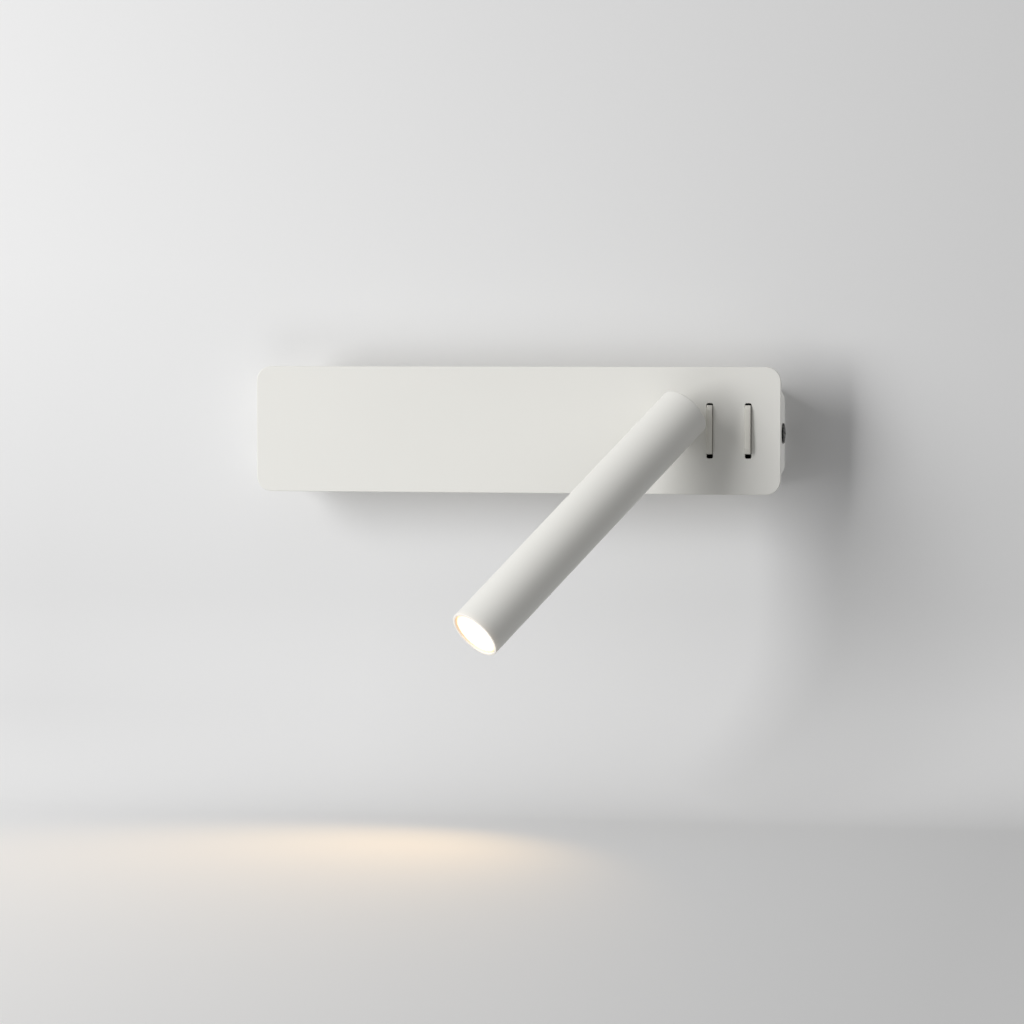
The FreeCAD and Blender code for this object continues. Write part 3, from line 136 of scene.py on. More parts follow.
TUBE_POINTS = node_points("lamp_tube", HEAD_PLACE)
TUBE_FRONT, TUBE_REAR = float(TUBE_POINTS[:, 0].min()), float(TUBE_POINTS[:, 0].max())
TUBE_RADIUS = float(np.hypot(TUBE_POINTS[:, 1], TUBE_POINTS[:, 2]).max())


def length(millimetres, name, description):
    """A length property whose default is given in millimetres."""
    return bpy.props.FloatProperty(name=name, description=description, default=millimetres * MM,
                                   min=0.0, unit="LENGTH", precision=5)


def linear(code):
    """The linear colour of an sRGB hex code: each channel by the sRGB curve."""
    channels = np.array([int(code[place:place + 2], 16) for place in (1, 3, 5)]) / 255.0
    low = channels / 12.92
    high = ((channels + 0.055) / 1.055) ** 2.4
    return tuple(float(value) for value in np.where(channels <= 0.04045, low, high))


def colour(code, name, description):
    """A colour property whose default is given as an sRGB hex code."""
    return bpy.props.FloatVectorProperty(name=name, description=description, subtype="COLOR",
                                         size=3, min=0.0, max=1.0, default=linear(code))


class PanelSizes(bpy.types.PropertyGroup):
    """The plate, the housing and the wall bracket."""
    corner: length(9.0, "Plate corner", "Corner radius of the front plate")
    thickness: length(3.0, "Plate thickness", "Thickness of the front plate")
    edge: length(0.4, "Plate edge", "Rounding of the front plate's edges")
    hole_edge: length(0.12, "Hole edge", "Rounding of the edges of slots and holes")
    slot_corner: length(1.0, "Slot corner", "Corner radius of a rocker slot")
    slot_width: length(4.0, "Slot width", "Width of a rocker slot")
    slot_length: length(33.0, "Slot length", "Length of a rocker slot")
    collar_hole: length(6.6, "Collar hole", "Radius of the hole for the swivel's collar")
    stud_radius: length(1.5, "Stud radius", "Weld stud behind the plate")
    stud_inset: length(10.0, "Stud inset", "Outer studs from the plate's ends")
    stud_rise: length(20.0, "Stud rise", "Studs above and below the plate's middle")
    housing_corner: length(10.0, "Housing corner", "Outer corner radius of the housing")
    housing_wall: length(1.5, "Housing wall", "Sheet thickness of the housing")
    housing_fold: length(1.6, "Housing fold", "Outer radius of the folded front edge")
    window_play: length(0.6, "Window play", "Housing window beyond the rocker slot")
    side_hole: length(2.55, "Side hole", "Radius of the holes for the side screws")
    lead_hole: length(2.0, "Lead hole", "Radius of the holes for the backlight leads")
    bracket_sheet: length(1.5, "Bracket sheet", "Sheet thickness of the wall bracket")
    bracket_corner: length(8.0, "Bracket corner", "Corner radius of the wall bracket")
    bracket_bend: length(2.4, "Bracket bend", "Outer radius of the bracket's bend")
    flange_height: length(27.0, "Flange height", "Upturned end of the bracket")
    wall_slots: length(200.0, "Wall screw span", "Wall screw slots, centre to centre")
    box_slots: length(60.0, "Box screw span", "Wiring box screw slots, centre to centre")
    screw_slot_length: length(11.0, "Screw slot length", "Screw slot, end to end")
    screw_slot_width: length(4.6, "Screw slot width", "Width of a screw slot")
    cable_hole: length(7.0, "Cable hole", "Radius of the bracket's cable hole")
    cable_bore: length(4.5, "Grommet bore", "Radius of the grommet's bore")
    earth_hole: length(2.0, "Earth hole", "Radius of the earth screw's hole")
    diffuser_wall: length(1.2, "Diffuser wall", "Wall thickness of the opal channels")


class ScrewSizes(bpy.types.PropertyGroup):
    """The side screws."""
    proud: length(0.2, "Dome", "Dome of the head beyond its solid")
    shank: length(2.45, "Shank", "Thread radius")
    shank_length: length(9.0, "Shank length", "Below the head")
    pitch: length(0.8, "Pitch", "Thread pitch")
    recess_width: length(1.3, "Recess arm", "Width of an arm of the cross recess")
    recess_span: length(6.4, "Recess span", "Cross recess, tip to tip")
    recess_depth: length(0.9, "Recess depth", "Depth of the cross recess")


class RockerSizes(bpy.types.PropertyGroup):
    """The two rocker blades."""
    width: length(3.4, "Blade width", "Across the blade")
    tall: length(29.0, "Blade length", "Bottom to top")
    face: length(11.5, "Blade face", "Face of the blade from its pivot")
    bevel_length: length(3.0, "Slope length", "Sloped end of the blade")
    bevel_drop: length(1.1, "Slope drop", "Sloped end of the blade")
    edge: length(0.45, "Blade edge", "Rounding along the blade")
    skirt: length(2.4, "Blade skirt", "End of the blade's straight sides from the pivot")
    hub: length(2.5, "Hub", "Rocker round its pivot")
    foot: length(6.0, "Foot", "Foot tip behind the pivot")
    foot_radius: length(0.9, "Foot tip", "Half the width of the foot tip")
    axle_radius: length(1.2, "Axle radius", "Rocker axle")
    axle_length: length(8.8, "Axle length", "Rocker axle")


class LampSizes(bpy.types.PropertyGroup):
    """The lamp tube, its lens and the swivel."""
    tube_wall: length(1.5, "Tube wall", "Wall thickness of the lamp tube")
    tube_ease: length(0.1, "Tube ease", "Tube's outside within its solid's circle")
    front_edge: length(0.35, "Tube front edge", "Rounding of the tube's front edge")
    rear_edge: length(1.0, "Tube rear edge", "Rounding of the tube's rear edge")
    slot_half: length(4.6, "Half slot", "Half the width of the tilt slot")
    slot_stop: length(6.3, "Slot end", "Slot end in front of the tilt pin")
    lens_edge: length(0.3, "Lens edge", "Rounding of the lens")
    lens_dish: length(0.7, "Lens dish", "Face of the lens behind its solid's front")
    holder_wall: length(1.1, "Holder wall", "Wall of the ring behind the lens")
    socket: length(0.85, "Set screw socket", "Across corners, halved")
    barrel: length(6.5, "Collar barrel", "Radius of the collar's barrel")
    stem_flange: length(6.5, "Stem flange", "Radius of the stem's flange")
    stem_flange_start: length(25.3, "Flange place", "Flange front from the tilt pin")
    flange_thickness: length(1.1, "Flange thickness", "Thickness of the stem's flange")
    spindle_radius: length(5.0, "Spindle", "Radius of the stem's spindle")
    stem_bore: length(1.9, "Lead bore", "Radius of the bore for the lead")
    neck_width: length(10.0, "Neck width", "Stem neck in the plane of tilt")
    neck_thickness: length(8.0, "Neck thickness", "Stem neck along the tilt pin")
    neck_edge: length(0.7, "Neck edge", "Rounding of the stem neck")
    eye_radius: length(6.2, "Stem eye", "Stem round the tilt pin")
    pin_radius: length(2.55, "Pin hole", "Hole for the tilt pin")


class FinishColours(bpy.types.PropertyGroup):
    """Colours of the finishes."""
    coat: colour("#E7E6E1", "Powder coat", "Plate, housing, tube and swivel")
    rocker: colour("#DCDAD2", "Rockers", "Rocker blades")
    zinc: colour("#B9BCBF", "Zinc plate", "Bracket, nuts and screws")
    black: colour("#1A1A1B", "Black oxide", "Side screws")
    opal: colour("#F1EDE4", "Opal", "Backlight diffusers")
    glow: colour("#FFEBD2", "Lens light", "Light of the lens")
    beam: colour("#FFD28A", "Beam light", "Light of the beam on the floor")
    # Painted glow: the tube's coat emits this colour near its front edge, in place of the lens's light on it
    painted_spill: colour("#FFE0C2", "Spill light", "Light that the lens throws over the tube's front edge")
    studio: colour("#E9E9E9", "Studio sweep", "Wall and floor behind the light")


def metres(value, name, description):
    """A length property for the studio, given in metres."""
    return bpy.props.FloatProperty(name=name, description=description, default=value, unit="LENGTH")


def amount(value, name, description, unit="NONE"):
    """A plain number, such as a light level or a lamp's power."""
    return bpy.props.FloatProperty(name=name, description=description, default=value, min=0.0, unit=unit)


def triple(values, name, description, subtype):
    """Three numbers: a direction, a place or a turn."""
    return bpy.props.FloatVectorProperty(name=name, description=description, default=values,
                                         subtype=subtype)


class StudioSizes(bpy.types.PropertyGroup):
    """The sweep, the lamps and the camera."""
    gap: metres(0.0005, "Wall gap", "Wall behind the bracket's back")
    floor: metres(-0.222, "Floor height", "Floor under the light")
    fold: metres(0.12, "Sweep radius", "Curve between wall and floor")
    height: metres(1.6, "Wall height", "Top of the sweep")
    depth: metres(9.0, "Floor depth", "Front of the sweep")
    width: metres(2.4, "Sweep width", "Left to right")
    key_power: amount(59.5, "Key power", "Power of the key lamp on the light", "POWER")
    wall_power: amount(70.0, "Wall power", "Power of the key lamp on the sweep", "POWER")
    key_distance: metres(2.6, "Key distance", "Key lamp from the wall")
    key_wide: metres(1.35, "Key width", "Width of the key lamp on the light")
    wall_wide: metres(0.9, "Wall width", "Width of the key lamp on the sweep")
    key_tall: metres(2.2, "Key height", "Height of both key lamps")
    key_direction: triple((-0.95, -1.0, 0.25), "Key direction", "Towards the key lamp on the light", "XYZ")
    wall_direction: triple((-1.36, -1.0, 0.22), "Wall direction", "Towards the key lamp on the sweep", "XYZ")
    fill_level: amount(0.2, "Fill level", "Light from the room's side")
    top_level: amount(0.3, "Top level", "Light from straight above, beyond the fill")
    bounce_level: amount(0.5, "Bounce level", "Light from the wall's side")
    floor_power: amount(0.5, "Floor power", "Light that the floor sends back up", "POWER")
    floor_wide: metres(0.36, "Floor patch", "Width of the patch of floor that sends light up")
    pool_power: amount(1.4, "Beam power", "Power of the lamp's own beam", "POWER")
    pool_angle: bpy.props.FloatProperty(name="Beam angle", description="Full angle of the lamp's beam",
                                        default=math.radians(94.0), subtype="ANGLE")
    beam_depth: metres(0.1, "Beam depth", "From the lens back to where the beam starts")
    pool_place: triple((-0.145, -0.453, -0.222), "Beam place", "Where the beam meets the floor",
                       "TRANSLATION")
    focal: amount(133.06, "Focal length", "In millimetres")
    camera_place: triple((0.41183, -2.27057, 0.06575), "Camera place", "Place of the camera", "TRANSLATION")
    camera_turn: triple((math.radians(87.15), 0.0, math.radians(10.49)), "Camera turn",
                        "Turn of the camera", "EULER")


class WallLightSettings(bpy.types.PropertyGroup):
    """All settings of the wall light."""
    panel: bpy.props.PointerProperty(type=PanelSizes, name="Plate, housing and bracket")
    screw: bpy.props.PointerProperty(type=ScrewSizes, name="Side screws")
    rocker: bpy.props.PointerProperty(type=RockerSizes, name="Rockers")
    lamp: bpy.props.PointerProperty(type=LampSizes, name="Lamp and swivel")
    colours: bpy.props.PointerProperty(type=FinishColours, name="Colours")
    studio: bpy.props.PointerProperty(type=StudioSizes, name="Studio")


def settings():
    """The scene's own settings of the wall light."""
    return bpy.context.scene.wall_light


# Outlines in a plane, as arrays of points that run anticlockwise

def arc(centre, radius, start, end, steps):
    """Points of an arc: centre plus radius times (cos, sin) of evenly spaced angles."""
    angles = np.linspace(start, end, steps + 1)
    return np.stack([centre[0] + radius * np.cos(angles), centre[1] + radius * np.sin(angles)], 1)


def circle(radius, centre=(0.0, 0.0), steps=48):
    """Points of a full circle, the end left out."""
    return arc(centre, radius, 0.0, 2.0 * math.pi, steps)[:-1]


def rounded_rectangle(width, height, radius, centre, steps):
    """Four quarter arcs, one about each corner's own centre."""
    across, up = width / 2 - radius, height / 2 - radius
    corners = [arc((centre[0] + across * side, centre[1] + up * rise), radius,
                   quarter * QUARTER, (quarter + 1) * QUARTER, steps)
               for quarter, (side, rise) in enumerate(((1, 1), (-1, 1), (-1, -1), (1, -1)))]
    points = np.concatenate(corners)
    gap = np.linalg.norm(points - np.roll(points, 1, 0), axis=1)
    return points[gap > 1e-7]


def anticlockwise(points):
    """The outline turned round if its signed area is negative."""
    points = np.asarray(points, float)
    after = np.roll(points, -1, 0)
    area = (points[:, 0] * after[:, 1] - after[:, 0] * points[:, 1]).sum()
    return points if area > 0 else points[::-1]


def inward(points):
    """The step from each point of an outline to the line one unit inside it, along its mitre: the sum of
    its two sides' normals over one plus their product."""
    ahead = np.roll(points, -1, 0) - points
    ahead = ahead / np.linalg.norm(ahead, axis=1, keepdims=True)
    normal = np.stack([-ahead[:, 1], ahead[:, 0]], 1)
    before = np.roll(normal, 1, 0)
    return (before + normal) / (1.0 + (before * normal).sum(1, keepdims=True))


def corner_arc(before, corner, after, radius, steps):
    """The arc that touches both sides of a corner, the directions of these sides, and how far along
    them the arc ends: radius / tan(half the corner's angle). Its centre lies on the bisector, at
    radius / sin(half the corner's angle)."""
    back = (before - corner) / np.linalg.norm(before - corner)
    ahead = (after - corner) / np.linalg.norm(after - corner)
    half = math.acos(float(np.clip(back @ ahead, -1.0, 1.0))) / 2
    reach = radius / math.tan(half)
    centre = corner + (back + ahead) / np.linalg.norm(back + ahead) * radius / math.sin(half)
    first, last = corner + back * reach - centre, corner + ahead * reach - centre
    start = math.atan2(first[1], first[0])
    swing = math.atan2(first[0] * last[1] - first[1] * last[0], first @ last)
    return arc(centre, radius, start, start + swing, steps), back, ahead, reach


def softened(corners, radius, steps=4):
    """A polygon with each corner replaced by an arc that touches both its sides."""
    corners = np.asarray(corners, float)
    threes = zip(np.roll(corners, 1, 0), corners, np.roll(corners, -1, 0))
    return np.concatenate([corner_arc(*three, radius, steps)[0] for three in threes])


def eased_profile(corners, radii):
    """Corners of an open profile with each inner one rounded by its radius, and narrow flats beside
    every rounding, so that long faces keep a straight shading."""
    corners = np.asarray(corners, float)
    points = [corners[:1]]
    for before, corner, after, radius in zip(corners, corners[1:], corners[2:], radii):
        turn, back, ahead, reach = corner_arc(before, corner, after, radius, steps=5)
        reach += min(FLAT, radius / 2)
        points += [[corner + back * reach], turn, [corner + ahead * reach]]
    return np.concatenate(points + [corners[-1:]])


# Surfaces

class Surface:
    """Points and faces of one piece, gathered part by part."""

    def __init__(self):
        self.points, self.faces, self.count = [], [], 0

    def grid(self, points, wrap_rows=False, wrap_columns=False):
        """Quads between the points of an array (rows, columns, 3); wrapping closes a direction."""
        rows, columns = points.shape[:2]
        index = np.arange(rows * columns).reshape(rows, columns) + self.count
        if wrap_rows:
            index = np.concatenate([index, index[:1]])
        if wrap_columns:
            index = np.concatenate([index, index[:, :1]], 1)
        quads = np.stack([index[:-1, :-1], index[:-1, 1:], index[1:, 1:], index[1:, :-1]], -1)
        self.points.append(points.reshape(-1, 3))
        self.faces += quads.reshape(-1, 4).tolist()
        self.count += rows * columns

    def fill(self, outlines, lift):
        """A flat face inside the first outline, the others left open; lift puts its points in space."""
        flat = np.concatenate(outlines)
        shapes = [[Vector((x, y, 0.0)) for x, y in outline] for outline in outlines]
        triangles = tessellate_polygon(shapes)
        self.points.append(lift(flat))
        self.faces += [[index + self.count for index in triangle] for triangle in triangles]
        self.count += len(flat)

    def mesh(self, name):
        """A mesh of all points and faces so far."""
        mesh = bpy.data.meshes.new(name)
        mesh.from_pydata(np.concatenate(self.points).tolist(), [], self.faces)
        return mesh

    def moved(self, place):
        """All points so far, put through a matrix."""
        turn = np.array(place.to_3x3())
        shift = np.array(place.translation)
        self.points = [points @ turn.T + shift for points in self.points]
        return self

    def add(self, other):
        """The points and faces of another surface."""
        self.faces += [[index + self.count for index in face] for face in other.faces]
        self.points += other.points
        self.count += other.count
        return self


def lifted(axes):
    """Puts plane points (u, v) at a level: u, v and the level go to the three named axes."""
    order = ["XYZ".index(axis) for axis in axes]

    def lift(points, level):
        spread = np.empty((len(points), 3))
        spread[:, order[0]], spread[:, order[1]] = points[:, 0], points[:, 1]
        spread[:, order[2]] = level
        return spread
    return lift


def carved(axes, outline, stations, holes=()):
    """A solid whose rim follows an outline: the point at station (inset, level) is the outline's point
    moved inward by inset and put at that level. The first and last stations are closed by flat faces.
    A hole is (outline, stations) from the last face to the first one, with positive insets into the
    hole's wall."""
    surface, lift = Surface(), lifted(axes)
    outline = anticlockwise(outline)

    def rings(loop, marks, way):
        steps = inward(loop) * way
        surface.grid(np.stack([lift(loop + steps * inset, level) for inset, level in marks]),
                     wrap_columns=True)
        return loop + steps * marks[0][0], loop + steps * marks[-1][0]

    first, last = rings(outline, stations, 1.0)
    starts, ends = [first], [last]
    for loop, marks in [(anticlockwise(loop), marks) for loop, marks in holes]:
        near, far = rings(loop, marks, -1.0)
        ends.append(near)
        starts.append(far)
    surface.fill(starts, lambda points: lift(points, stations[0][1]))
    surface.fill(ends, lambda points: lift(points, stations[-1][1]))
    return surface


def slab(back, front, edge):
    """Stations of a plate from its back to its front, with a quarter circle of radius edge at both, and
    a narrow flat rim that keeps the faces' shading flat."""
    way = 1.0 if front > back else -1.0
    turn = np.linspace(0.0, QUARTER, 5)
    rise = np.stack([edge - edge * np.sin(turn), edge - edge * np.cos(turn)], 1)
    low = [(edge + FLAT, back)] + [(inset, back + way * level) for inset, level in rise]
    high = [(inset, front - way * level) for inset, level in rise[::-1]] + [(edge + FLAT, front)]
    return low + high


def turned(profile, place, steps=96, closed=False):
    """A turned solid: each profile point (along, radius) goes round the local X axis, at
    (along, radius cos a, radius sin a). A closed profile makes a ring."""
    profile = np.asarray(profile, float)
    angles = np.linspace(0.0, 2.0 * math.pi, steps, endpoint=False)
    along = np.repeat(profile[:, 0], steps).reshape(-1, steps)
    points = np.stack([along, profile[:, 1:2] * np.cos(angles), profile[:, 1:2] * np.sin(angles)], -1)
    surface = Surface()
    surface.grid(points, wrap_rows=closed, wrap_columns=True)
    return surface.moved(place)


def cleaned(mesh, step=None):
    """Merges a mesh's doubles, takes a further step on it, points its faces outward and smooths it."""
    work = bmesh.new()
    work.from_mesh(mesh)
    bmesh.ops.remove_doubles(work, verts=work.verts, dist=WELD)
    if step:
        step(work)
    bmesh.ops.recalc_face_normals(work, faces=work.faces)
    work.to_mesh(mesh)
    work.free()
    mesh.shade_smooth()
    return mesh


def placed(name, data):
    """An object of a mesh, a lamp or a camera, in the scene."""
    thing = bpy.data.objects.new(name, data)
    bpy.context.scene.collection.objects.link(thing)
    return thing


def finished(mesh, slot):
    """An object of a mesh in its slot's finish, with the edges sharp that turn by more than the limit."""
    mesh.set_sharp_from_angle(angle=SMOOTH_LIMIT)
    mesh.materials.clear()
    mesh.materials.append(finish(slot))
    return placed(mesh.name, mesh)


def piece(name, surface, slot, body, replaces):
    """An object of the surface that takes the place of CAD nodes, in its slot's finish and on its body."""
    mesh = cleaned(surface.mesh(name), lambda work: bmesh.ops.dissolve_degenerate(
        work, edges=work.edges, dist=SLIVER))
    thing = finished(mesh, slot)
    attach(thing, body)
    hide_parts(*replaces)
    return thing


# Materials

def add(tree, kind, values=(), links=(), **options):
    """A node with its options, the values of its inputs and the links into them."""
    node = tree.nodes.new("ShaderNode" + kind)
    for option, value in options.items():
        setattr(node, option, value)
    for socket, value in dict(values).items():
        node.inputs[socket].default_value = value
    for socket, source in dict(links).items():
        tree.links.new(source, node.inputs[socket])
    return node


def blank(name):
    """A material with one surface shader: its tree, the shader and the object coordinates."""
    material = bpy.data.materials.new(name)
    material.use_nodes = True
    tree = material.node_tree
    tree.nodes.clear()
    shader = add(tree, "BsdfPrincipled")
    add(tree, "OutputMaterial", links={"Surface": shader.outputs["BSDF"]})
    place = add(tree, "TexCoord")
    return material, tree, shader, place.outputs["Object"]


def dressed(tree, shader, links, values=()):
    """Links into the shader's inputs and, on its own sockets, the values that are the same all over."""
    for socket, source in links.items():
        tree.links.new(source, shader.inputs[socket])
    for socket, value in dict(values).items():
        shader.inputs[socket].default_value = value


def per_metre(grain):
    """Texture scale at which one cell is about a grain, given in millimetres."""
    return 1.0 / (grain * MM)


def shades(base, *factors):
    """The base colour times each factor, as colours with alpha."""
    return [tuple(min(1.0, channel * factor) for channel in base[:3]) + (1.0,) for factor in factors]


def opaque(base):
    """The base colour with an alpha of one."""
    return shades(base, 1.0)[0]


def mottled(tree, place, base, size, high, low, detail=2.0):
    """The base colour, wandering between two shades of it in patches of a size in millimetres."""
    patches = add(tree, "TexNoise", {"Scale": per_metre(size), "Detail": detail}, {"Vector": place})
    light, dark = shades(base, high, low)
    tint = add(tree, "Mix", {6: dark, 7: light}, {0: patches.outputs["Fac"]}, data_type="RGBA")
    return tint.outputs[2]


def powder_coat(parts, base, peel=1.1, grain=0.28, depth=0.016, roughness=0.52, grain_share=0.6):
    """Polyester powder coat, baked: matt, with a faint orange peel, a finer grain whose share is added
    to it, and slow clouds of shade. peel, grain and depth, the bump's height, are in millimetres."""
    material, tree, shader, place = parts
    wide = add(tree, "TexNoise", {"Scale": per_metre(peel), "Detail": 2.0}, {"Vector": place})
    fine = add(tree, "TexNoise", {"Scale": per_metre(grain), "Detail": 3.0}, {"Vector": place})
    height = add(tree, "Math", {1: grain_share}, {0: fine.outputs["Fac"], 2: wide.outputs["Fac"]},
                 operation="MULTIPLY_ADD")
    bump = add(tree, "Bump", {"Strength": 0.35, "Distance": depth * MM}, {"Height": height.outputs["Value"]})
    dull = add(tree, "MapRange", {"To Min": roughness - 0.05, "To Max": roughness + 0.06},
               {"Value": fine.outputs["Fac"]})
    tint = mottled(tree, place, base, size=60.0, high=1.012, low=0.985, detail=3.0)
    dressed(tree, shader, {"Base Color": tint, "Roughness": dull.outputs["Result"],
                           "Normal": bump.outputs["Normal"]}, {"Specular IOR Level": 0.35})
    return material


def coated(name, base, **coat):
    """A material that is powder coat alone."""
    return powder_coat(blank(name), base, **coat)


def moulded(name, base, roughness, grain=0.35, depth=0.012, sheen=0.5, clear=0.0):
    """Injection moulded plastic: spark-eroded mould grain and slow flow shading."""
    material, tree, shader, place = blank(name)
    eroded = add(tree, "TexNoise", {"Scale": per_metre(grain), "Detail": 4.0}, {"Vector": place})
    bump = add(tree, "Bump", {"Strength": 0.4, "Distance": depth * MM}, {"Height": eroded.outputs["Fac"]})
    dull = add(tree, "MapRange", {"To Min": roughness - 0.06, "To Max": roughness + 0.08},
               {"Value": eroded.outputs["Fac"]})
    tint = mottled(tree, place, base, size=14.0, high=1.03, low=0.95)
    dressed(tree, shader, {"Base Color": tint, "Roughness": dull.outputs["Result"],
                           "Normal": bump.outputs["Normal"]},
            {"Specular IOR Level": sheen, "Coat Weight": clear})
    return material


def metal(name, base, roughness, grain=(0.4, 0.4, 0.4), depth=0.006, patch=6.0, contrast=0.06):
    """Bare or plated metal: a grain that may be drawn out along one axis, and uneven dull patches."""
    material, tree, shader, place = blank(name)
    stretch = add(tree, "Mapping", {"Scale": tuple(per_metre(size) for size in grain)}, {"Vector": place})
    lines = add(tree, "TexNoise", {"Scale": 1.0, "Detail": 3.0}, {"Vector": stretch.outputs["Vector"]})
    bump = add(tree, "Bump", {"Strength": 0.5, "Distance": depth * MM}, {"Height": lines.outputs["Fac"]})
    dull = add(tree, "MapRange", {"To Min": roughness - 0.08, "To Max": roughness + 0.1},
               {"Value": lines.outputs["Fac"]})
    tint = mottled(tree, place, base, patch, 1.0 + contrast, 1.0 - contrast, detail=3.0)
    dressed(tree, shader, {"Base Color": tint, "Roughness": dull.outputs["Result"],
                           "Normal": bump.outputs["Normal"]}, {"Metallic": 1.0})
    return material


def black_oxide(name, base):
    """Black oxide on a steel screw: near black, a little oily gloss, bare grey specks where it wore.
    Real specks are tenths of a millimetre and wouldn't show, so they are drawn at 1.6 mm."""
    material, tree, shader, place = blank(name)
    wear = add(tree, "TexNoise", {"Scale": per_metre(1.6), "Detail": 3.0, "Roughness": 0.6},
               {"Vector": place})
    specks = add(tree, "MapRange", {"From Min": 0.53, "From Max": 0.58}, {"Value": wear.outputs["Fac"]})
    tint = add(tree, "Mix", {6: opaque(base), 7: opaque(linear("#767672"))}, {0: specks.outputs["Result"]},
               data_type="RGBA")
    bump = add(tree, "Bump", {"Strength": 0.4, "Distance": 0.01 * MM}, {"Height": wear.outputs["Fac"]})
    dressed(tree, shader, {"Base Color": tint.outputs[2], "Normal": bump.outputs["Normal"]},
            {"Specular IOR Level": 0.12, "Roughness": 0.5})
    return material


def along_tube(tree, place):
    """Object coordinates turned onto the tube's axis, measured from the tilt pin."""
    back = HEAD_PLACE.inverted()
    onto = add(tree, "Mapping", {"Location": back.translation, "Rotation": back.to_euler("XYZ")},
               {"Vector": place})
    return onto.outputs["Vector"]


def lamp_coat(name, base, glow, length=7.0, strength=0.11):
    """The tube's powder coat, with a painted warm glow that the coat emits near the front edge in place of
    the lens's light on it: it fades with the cube of the distance left within length millimetres behind that
    edge."""
    parts = blank(name)
    material, tree, shader, place = parts
    powder_coat(parts, base)
    axes = add(tree, "SeparateXYZ", links={0: along_tube(tree, place)})
    share = add(tree, "MapRange", {"From Min": TUBE_FRONT + length * MM, "From Max": TUBE_FRONT},
                {"Value": axes.outputs["X"]})
    fade = add(tree, "Math", {1: 3.0}, {0: share.outputs["Result"]}, operation="POWER")
    # Painted glow: emitted colour on the coat that stands in for the lens's light on the tube
    painted_spill = add(tree, "Mix", {6: (0.0, 0.0, 0.0, 1.0), 7: opaque(glow)}, {0: fade.outputs["Value"]},
                data_type="RGBA")
    dressed(tree, shader, {"Emission Color": painted_spill.outputs[2]}, {"Emission Strength": strength})
    return material


def lit_lens(name, glow, inside=0.76, outside=0.9):
    """Frosted acrylic in front of a lit reflector: brightest inside, warmer and weaker at its edge.
    The distance from the tube's axis, in shares of the tube's radius, is taken from the object
    coordinates turned onto that axis: the length of their part across it."""
    material, tree, shader, place = blank(name)
    flat = add(tree, "VectorMath", {1: (0.0, 1.0, 1.0)}, {0: along_tube(tree, place)}, operation="MULTIPLY")
    reach = add(tree, "VectorMath", links={0: flat.outputs["Vector"]}, operation="LENGTH")
    share = add(tree, "MapRange", {"From Min": TUBE_RADIUS * inside, "From Max": TUBE_RADIUS * outside},
                {"Value": reach.outputs["Value"]})
    tint = add(tree, "Mix", {6: opaque(glow), 7: opaque(linear("#F0B070"))}, {0: share.outputs["Result"]},
               data_type="RGBA")
    frost = add(tree, "TexNoise", {"Scale": per_metre(0.3), "Detail": 3.0}, {"Vector": place})
    bump = add(tree, "Bump", {"Strength": 0.3, "Distance": 0.01 * MM}, {"Height": frost.outputs["Fac"]})
    dressed(tree, shader, {"Emission Color": tint.outputs[2], "Normal": bump.outputs["Normal"]},
            {"Emission Strength": 1.25, "Base Color": opaque(linear("#B9B6AE")), "Roughness": 0.45})
    return material


def opal(name, base):
    """Opal acrylic extrusion: white, softly see-through, with faint lines along its length."""
    material, tree, shader, place = blank(name)
    stretch = add(tree, "Mapping", {"Scale": (per_metre(40.0), per_metre(0.5), per_metre(0.5))},
                  {"Vector": place})
    lines = add(tree, "TexNoise", {"Scale": 1.0, "Detail": 2.0}, {"Vector": stretch.outputs["Vector"]})
    light, dark = shades(base, 1.01, 0.97)
    tint = add(tree, "Mix", {6: dark, 7: light}, {0: lines.outputs["Fac"]}, data_type="RGBA")
    bump = add(tree, "Bump", {"Strength": 0.25, "Distance": 0.01 * MM}, {"Height": lines.outputs["Fac"]})
    dressed(tree, shader, {"Base Color": tint.outputs[2], "Normal": bump.outputs["Normal"]},
            {"Roughness": 0.32, "Subsurface Weight": 0.3, "Subsurface Radius": (1.0, 0.9, 0.8),
             "Subsurface Scale": 1.5 * MM})
    return material


def solder_mask(name, base, pad):
    """White solder mask over copper tracks: flat and glossy, with tracks that show as faint steps."""
    material, tree, shader, place = blank(name)
    tracks = add(tree, "TexVoronoi", {"Scale": per_metre(3.5)}, {"Vector": place}, distance="CHEBYCHEV")
    edges = add(tree, "MapRange", {"From Min": 0.28, "From Max": 0.34}, {"Value": tracks.outputs["Distance"]})
    tint = add(tree, "Mix", {6: opaque(pad), 7: opaque(base)}, {0: edges.outputs["Result"]}, data_type="RGBA")
    bump = add(tree, "Bump", {"Strength": 0.5, "Distance": 0.03 * MM}, {"Height": edges.outputs["Result"]})
    dressed(tree, shader, {"Base Color": tint.outputs[2], "Normal": bump.outputs["Normal"]},
            {"Roughness": 0.3})
    return material


